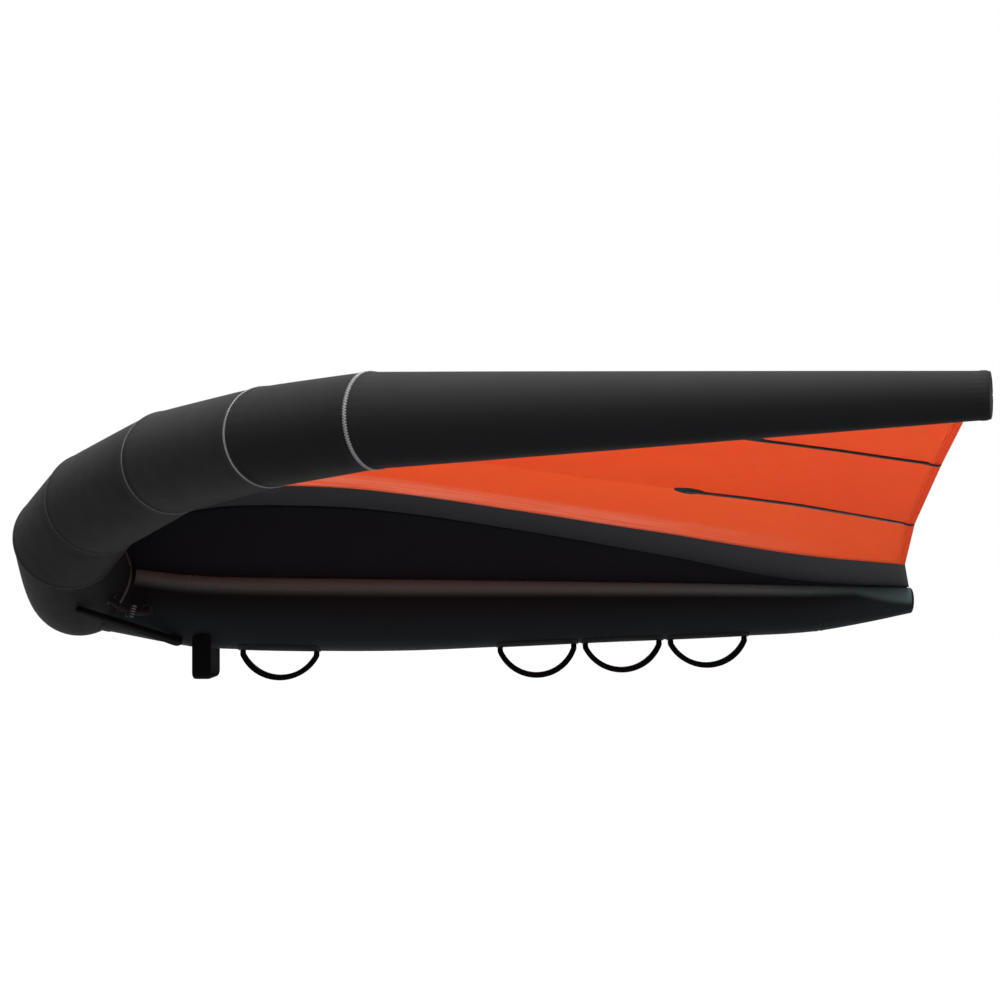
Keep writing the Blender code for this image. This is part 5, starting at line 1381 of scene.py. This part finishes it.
@dataclass
class Handles:
    """The four loop handles of webbing and the sewn patches above them."""

    strut: StrutShape
    reaches: tuple[float, ...] = (-0.553, 0.0, 0.183, 0.366)
    drops: tuple[float, ...] = (0.963, 1.045, 1.0, 0.970)
    span: float = 0.158
    drop: float = 0.067
    width: float = 0.038
    tab_radius: float = 0.008
    patch_depth: float = 0.0020
    taper: float = 0.36
    thickness: float = 0.0118
    patch_margin: float = 0.0075
    patch_half_angle: float = math.radians(36)
    stitch_radius: float = 0.0006

    def axis(self, x: float) -> Array:
        """Return both ends of a handle's swing axis, under the strut's belly."""
        depth = self.patch_depth + self.tab_radius
        return self.strut.surface(np.array([x - self.span / 2, x + self.span / 2]), -math.pi / 2, depth)

    def loop(self, number: int, x: float, share: float) -> None:
        """Make a handle: an arc of a circle between two tabs whose tops are round about the swing axis.

        Args:
            number: the handle's number.
            x: its place along the strut.
            share: its share of the common drop.
        """
        front, rear = self.axis(x)
        middle, half = (front + rear) / 2, float(np.linalg.norm(rear - front)) / 2
        lean = unit(rear - front)
        up = np.array([-lean[2], 0.0, lean[0]])
        reach = self.drop * share - self.patch_depth - self.tab_radius - self.thickness / 2
        radius = (half**2 + reach**2) / (2 * reach)
        spread = math.asin(half / radius)
        tab = np.linspace(math.radians(8), math.pi / 2, 10)
        tab_up, tab_width = self.tab_radius * np.cos(tab), 2 * self.tab_radius * np.sin(tab)
        turn = np.linspace(-spread, spread, 61)[1:-1]
        depth = reach - radius * (1 - np.cos(turn))
        wide = np.minimum(self.width, 2 * (self.tab_radius + self.taper * depth))
        along = np.concatenate([np.full(10, -half), radius * np.sin(turn), np.full(10, half)])
        rise = np.concatenate([tab_up, -depth, tab_up[::-1]])
        widths = np.concatenate([tab_width, wide, tab_width[::-1]])
        path = middle + along[:, None] * lean + rise[:, None] * up
        maker = MeshMaker()
        maker.tube(*strap(path, SPANWISE, widths, self.thickness, 28))
        maker.piece(f"handle_loop_{number}", WEBBING, "webbing", f"handle_{number}",
                    body=f"handle_{number}", sharp=60.0)

    def patch(self, number: int, x: float) -> None:
        """Make a sewn patch on the strut's belly: a rounded rectangle with a raised, stitched rim."""
        reach = self.span / 2 + self.thickness / 2 + self.patch_margin - 0.004
        along = np.linspace(-1.0, 1.0, 60)[:, None]
        across = np.linspace(-1.0, 1.0, 34)[None]
        corner = (np.abs(along) ** 9 + np.abs(across) ** 9) ** (1 / 9)
        square = np.maximum(np.abs(along), np.abs(across))
        shrink = square / np.maximum(corner, 1e-9)
        places = x + reach * along * shrink
        angle = -math.pi / 2 + self.patch_half_angle * across * shrink
        edge = 1 - square
        lift = 0.0002 + 0.0010 * ramp(edge, 0.0, 0.02) - 0.0003 * bell(edge - 0.07, 0.012)
        maker = MeshMaker()
        maker.grid(self.strut.surface(places, angle, lift), np.stack([places, angle * STRUT_RADIUS], -1),
                   flip=True)
        maker.piece(f"handle_patch_cloth_{number}", PATCH_CLOTH, "patch", f"handle_patch_{number}",
                    merge=False)

    def roots(self, number: int, x: float) -> None:
        """Make the sewn roots that hold a handle's tabs: short oval posts inside the tabs' round ends."""
        turn = turns(24)
        height = np.linspace(0.0, 1.0, 6) * (self.patch_depth + self.tab_radius - 0.0008)
        flare = 1 + 0.35 * np.linspace(0.0, 1.0, 6)[:, None, None] ** 6
        section = np.stack([self.thickness * 0.40 * np.cos(turn), self.tab_radius * 0.55 * np.sin(turn),
                            np.zeros(24)], -1)
        maker = MeshMaker()
        for end in self.axis(x):
            points = end + section * flare + height[:, None, None] * UP
            maker.tube(points, pairs(height, metres_round(24, self.tab_radius * 0.55)))
        maker.piece(f"handle_root_{number}", WEBBING, "webbing")

    def sewing(self, number: int, x: float) -> None:
        """Run a line of stitches round the patch, a rounded rectangle on the strut's skin."""
        turn = turns(240)
        square = 1 / (np.abs(np.cos(turn)) ** 12 + np.abs(np.sin(turn)) ** 12) ** (1 / 12)
        reach = self.span / 2 + self.patch_margin + 0.0003
        places = x + reach * np.cos(turn) * square
        angle = -math.pi / 2 + self.patch_half_angle * 0.92 * np.sin(turn) * square
        path = self.strut.surface(places, angle, 0.0013 + 0.0004 * np.cos(turn * 120))
        maker = MeshMaker()
        maker.tube(*tube_along(path, self.stitch_radius, 5))
        maker.piece(f"handle_patch_stitch_{number}", DARK_THREAD, "patch", sharp=80.0)

    def build(self) -> None:
        """Make the four handles with their patches and stitches."""
        for number, (x, share) in enumerate(zip(self.reaches, self.drops), start=1):
            self.loop(number, x, share)
            self.patch(number, x)
            self.roots(number, x)
            self.sewing(number, x)


@dataclass
class CrossLoop:
    """The wide loop across the strut's front, hanging from two anchor pads."""

    half: float = 0.0674
    width: float = 0.040
    thickness: float = 0.0030
    corner: float = 0.014
    top_corner: float = 0.011
    top_drop: float = 0.0050
    floor_inset: float = 0.004

    def build(self) -> None:
        """Make the loop: two legs with flat sewn tops, joined by rounded corners and a flat bottom."""
        low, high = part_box("cross_loop")
        x = (low.x + high.x) / 2
        top = high.z - self.top_drop
        bottom = low.z + self.thickness / 2
        turn = np.linspace(0.0, math.pi / 2, 12)
        straight = np.linspace(top - self.top_corner - 0.004, bottom + self.corner + 0.004, 8)
        leg_z = np.concatenate([top - self.top_corner * (1 - np.cos(turn)), straight,
                                bottom + self.corner * (1 - np.sin(turn))])
        leg_y = np.concatenate([np.full(20, -self.half), -self.half + self.corner * (1 - np.cos(turn))])
        tops = self.width - 2 * self.top_corner * (1 - np.sin(turn))
        ends = self.width - 2 * self.floor_inset * (1 - np.cos(turn))
        widths = np.concatenate([tops, np.full(8, self.width), ends])
        leg = np.stack([np.full(32, x), leg_y, leg_z], -1)
        floor_y = np.linspace(-self.half + self.corner, self.half - self.corner, 16)[1:-1]
        floor = np.stack([np.full(14, x), floor_y, np.full(14, bottom)], -1)
        path = np.vstack([leg, floor, leg[::-1] * [1.0, -1.0, 1.0]])
        width = np.concatenate([widths, np.full(14, ends[-1]), widths[::-1]])
        points, uv = strap(path, REARWARD, width, self.thickness, 24)
        outward = points[20] - path[20]
        inner = (outward[:, 1] > 0) & (np.roll(outward[:, 1], -1) > 0)
        maker = MeshMaker()
        maker.tube(points, uv, mark=np.where(inner, 1, 0))
        maker.piece("cross_loop_webbing", (WEBBING, LINING), "webbing", "cross_loop", body="cross_loop",
                    sharp=60.0)


@dataclass
class NoseStraps:
    """The taut straps from under the tube to the strut, each with a thick sewn end."""

    strut: StrutShape
    station: float = 0.66
    rear_share: float = 0.1265
    front_angle: float = math.radians(-85)
    rear_angle: float = math.radians(-57)
    front_width: float = 0.016
    rear_width: float = 0.024
    thickness: float = 0.0120

    def build(self) -> None:
        """Make both straps: straight middle lines, widths growing rearward, rounded ends."""
        tube, lift = self.strut.tube, self.thickness / 2 + 0.0002
        start = tube.surface(np.array([self.station]), np.array([[self.front_angle]]), lift)[0, 0]
        end = self.strut.surface(self.strut.place(self.rear_share), self.rear_angle, lift)
        share = np.linspace(0.0, 1.0, 60)
        tube_normal = unit(start - tube.centre(np.array(self.station)))
        strut_normal = np.array([0.0, math.cos(self.rear_angle), math.sin(self.rear_angle)])
        normal = unit(tube_normal * (1 - share[:, None]) + strut_normal * share[:, None])
        path = start + (end - start) * share[:, None]
        across = np.cross(unit(end - start), normal)
        width = self.front_width + (self.rear_width - self.front_width) * share
        near_end = np.clip(np.minimum(share, 1 - share) / 0.055, 0.0, 1.0)
        ends = 0.15 + 0.85 * np.sqrt(np.clip(1 - (1 - near_end) ** 2, 0.0, 1.0))
        thick = self.thickness * (0.55 + 0.45 * ends) * (1 + 0.12 * ramp(share, 0.86, 0.90))
        for side in Side:
            mirror = np.array([1.0, side.value, 1.0])
            maker = MeshMaker()
            maker.tube(*strap(path * mirror, across * mirror * side.value, width * ends, thick))
            maker.piece(f"nose_strap_webbing_{side.word}", WEBBING, "webbing", f"nose_strap_{side.word}",
                        sharp=60.0)


# Hose and fittings


@dataclass
class Hose:
    """The hose between both bladders, its end cuffs, and the ribs of its pinch clip's lever."""

    route: tuple[Colour, ...] = (
        (-0.88821, -0.1359, 0.16328), (-0.88205, -0.13769, 0.15802), (-0.87531, -0.13896, 0.15277),
        (-0.86856, -0.13893, 0.14838), (-0.8619, -0.13769, 0.1448), (-0.85545, -0.13531, 0.14196),
        (-0.84933, -0.13187, 0.13981), (-0.84365, -0.12744, 0.13829), (-0.83853, -0.12211, 0.13735),
        (-0.83408, -0.11596, 0.13692), (-0.83042, -0.10905, 0.13694), (-0.82766, -0.10147, 0.13737),
        (-0.82592, -0.0933, 0.13814), (-0.82532, -0.08461, 0.13919), (-0.82532, -0.07638, 0.14027))
    radius: float = 0.0064
    rows: int = 90
    cuff_length: float = 0.0065
    cuff_lift: float = 0.0002
    cuff_groove: float = 0.0004
    clip_place: int = 6
    clip_top: float = 0.0129
    rib_places: tuple[float, ...] = (-0.0085, -0.0030, 0.0025, 0.0080, 0.0135)
    rib_half: float = 0.0048
    rib_radius: float = 0.0011

    def tube(self) -> None:
        """Each coordinate of its middle line is a smooth curve of the length run so far.
        """
        route = np.array(self.route)
        places = lengths_along(route)
        fine = np.linspace(0.0, places[-1], self.rows)
        path = np.stack([hermite(fine, places, route[:, k]) for k in range(3)], -1)
        run = lengths_along(path)
        near = np.minimum(run, run[-1] - run)
        cuff = 1 - ramp(near, self.cuff_length, self.cuff_length + 0.0012)
        groove = self.cuff_groove * bell(near - self.cuff_length / 2, 0.0010)
        points, uv = tube_along(path, self.radius + self.cuff_lift * cuff - groove, 28)
        maker = MeshMaker()
        maker.tube(points, uv)
        obj = maker.piece("bladder_hose", HOSE_FINISH, "hose", "transfer_hose")

    def ribs(self) -> None:
        """Make the lever's grip ribs: short round bars across it, on its outward face."""
        behind, middle, ahead = np.array(self.route)[self.clip_place - 1:self.clip_place + 2]
        along = unit(ahead - behind)
        outward = unit(along * along[1] - SPANWISE)
        across = np.cross(outward, along)
        turn = np.linspace(0.0, math.pi, 17)
        reach = -self.rib_half * np.cos(turn)
        radius = self.rib_radius * np.clip(np.sin(turn), 0.05, 1.0) ** 0.5
        maker = MeshMaker()
        for place in self.rib_places:
            path = middle + outward * self.clip_top + across * place + reach[:, None] * along
            maker.tube(*tube_along(path, radius, 12))
        maker.piece("lever_ribs", RIB_PLASTIC, "clip", body="hose_clip_lever")

    def build(self) -> None:
        """Make the hose and the ribs."""
        self.tube()
        self.ribs()


@dataclass
class Studio:
    """The floor, the lamps, the background and the camera of the photograph."""

    floor_z: float = -1.15
    floor_half: float = 30.0
    floor_colour: Colour = (0.40, 0.42, 0.46)
    floor_glow: float = 0.96
    glow_level: float = 1.08
    world_level: float = 0.36
    place: Colour = (-0.072, -4.3, 0.2338)
    lens: float = 72.0
    shift_x: float = -0.0036
    shift_y: float = 0.0662

    def background(self) -> None:
        """Light the scene evenly and show white to the camera and in reflections."""
        graph = Graph(bpy.data.worlds.new("studio"))
        bpy.context.scene.world = graph.owner
        path = graph.node("ShaderNodeLightPath").outputs
        seen = graph.math("MAXIMUM", path["Is Camera Ray"], path["Is Transmission Ray"])
        seen = graph.math("MAXIMUM", seen, path["Is Glossy Ray"])
        graph.fill(graph.tree.nodes["Background"], {"Strength": graph.spread(seen, self.world_level, 1.0),
                                                    "Color": (1.0, 1.0, 1.0)})

    def floor(self) -> None:
        """Lay a pale floor that is nearly white to the camera and keeps the wing's shadow."""
        reach = np.linspace(-self.floor_half, self.floor_half, 3)
        uv = pairs(reach, reach)
        maker = MeshMaker()
        maker.grid(np.concatenate([uv, np.full((3, 3, 1), self.floor_z)], -1), uv)
        graph = Graph(bpy.data.materials.new("floor_paint"))
        graph.fill(graph.shader, {"Base Color": self.floor_colour, "Roughness": 0.9,
                                  "Specular IOR Level": 0.0})
        path = graph.node("ShaderNodeLightPath").outputs
        seen = graph.math("MAXIMUM", path["Is Camera Ray"], path["Is Glossy Ray"])
        glow = graph.node("ShaderNodeEmission", {"Strength": self.glow_level})
        mix = graph.node("ShaderNodeMixShader", {0: graph.product(seen, self.floor_glow),
                                                 1: graph.shader.outputs[0], 2: glow.outputs[0]})
        graph.join(mix.outputs[0], graph.tree.nodes["Material Output"].inputs["Surface"])
        maker.build("floor", [graph.owner], merge=False)

    def lamp(self, name: str, place: Colour, aim: Colour, size: float, watts: float) -> None:
        """Hang a square lamp that faces a point."""
        light = bpy.data.lights.new(name, "AREA")
        light.shape = "SQUARE"
        light.size = size
        light.energy = watts
        obj = bpy.data.objects.new(name, light)
        bpy.context.scene.collection.objects.link(obj)
        away = unit(np.array(place) - np.array(aim))
        side = unit(np.cross(SPANWISE if abs(away[1]) < 0.9 else REARWARD, away))
        up = np.cross(away, side)
        rows = [[side[k], up[k], away[k], place[k]] for k in range(3)]
        obj.matrix_world = Matrix([*rows, [0.0, 0.0, 0.0, 1.0]])

    def camera(self) -> None:
        """Stand the camera where the photograph was taken from, level and square to the strut."""
        data = bpy.data.cameras.new("photo_camera")
        data.lens = self.lens
        data.sensor_width = 36.0
        data.shift_x = self.shift_x
        data.shift_y = self.shift_y
        data.clip_end = 100.0
        obj = bpy.data.objects.new("photo_camera", data)
        bpy.context.scene.collection.objects.link(obj)
        obj.location = self.place
        obj.rotation_euler = (math.pi / 2, 0.0, 0.0)
        bpy.context.scene.camera = obj

    def build(self) -> None:
        """Set up the whole studio."""
        bpy.context.scene.view_settings.view_transform = "Standard"
        self.background()
        self.floor()
        self.camera()
        self.lamp("top_lamp", (-0.3, -1.0, 3.2), (-0.1, -0.6, 0.2), 2.6, 140.0)
        self.lamp("front_lamp", (1.0, -4.0, 1.7), (0.2, 0.0, 0.2), 1.6, 38.0)


def carried_nodes() -> None:
    """Give the nodes that stay their finishes: films, moulded parts, clip, rods and pads."""
    finishes = {slot: finish.material() for slot, finish in CARRIED.items()}
    slots = {entry["node"]: entry["material_slot"] for entry in frame["record"]["subparts"]}
    for name, obj in frame["nodes"].items():
        if obj.hide_render or slots[name] not in finishes:
            continue
        obj.data.materials.clear()
        obj.data.materials.append(finishes[slots[name]])
        LOG.info("%s keeps its shape", name)


def main() -> None:
    """Build every sub-assembly in order, then the studio, and report each piece."""
    logging.basicConfig(level=logging.INFO, format="%(name)s: %(message)s")
    tube = TubeShape()
    strut = StrutShape(tube)
    canopy = CanopyShape(tube, strut)
    for assembly in (Studio(), Hose(), LeadingEdge(tube), Strut(strut), Canopy(canopy), Web(canopy),
                     Battens(canopy), Handles(strut), CrossLoop(), NoseStraps(strut)):
        assembly.build()
    carried_nodes()
    bpy.context.view_layer.update()


if __name__ == "__main__":
    main()
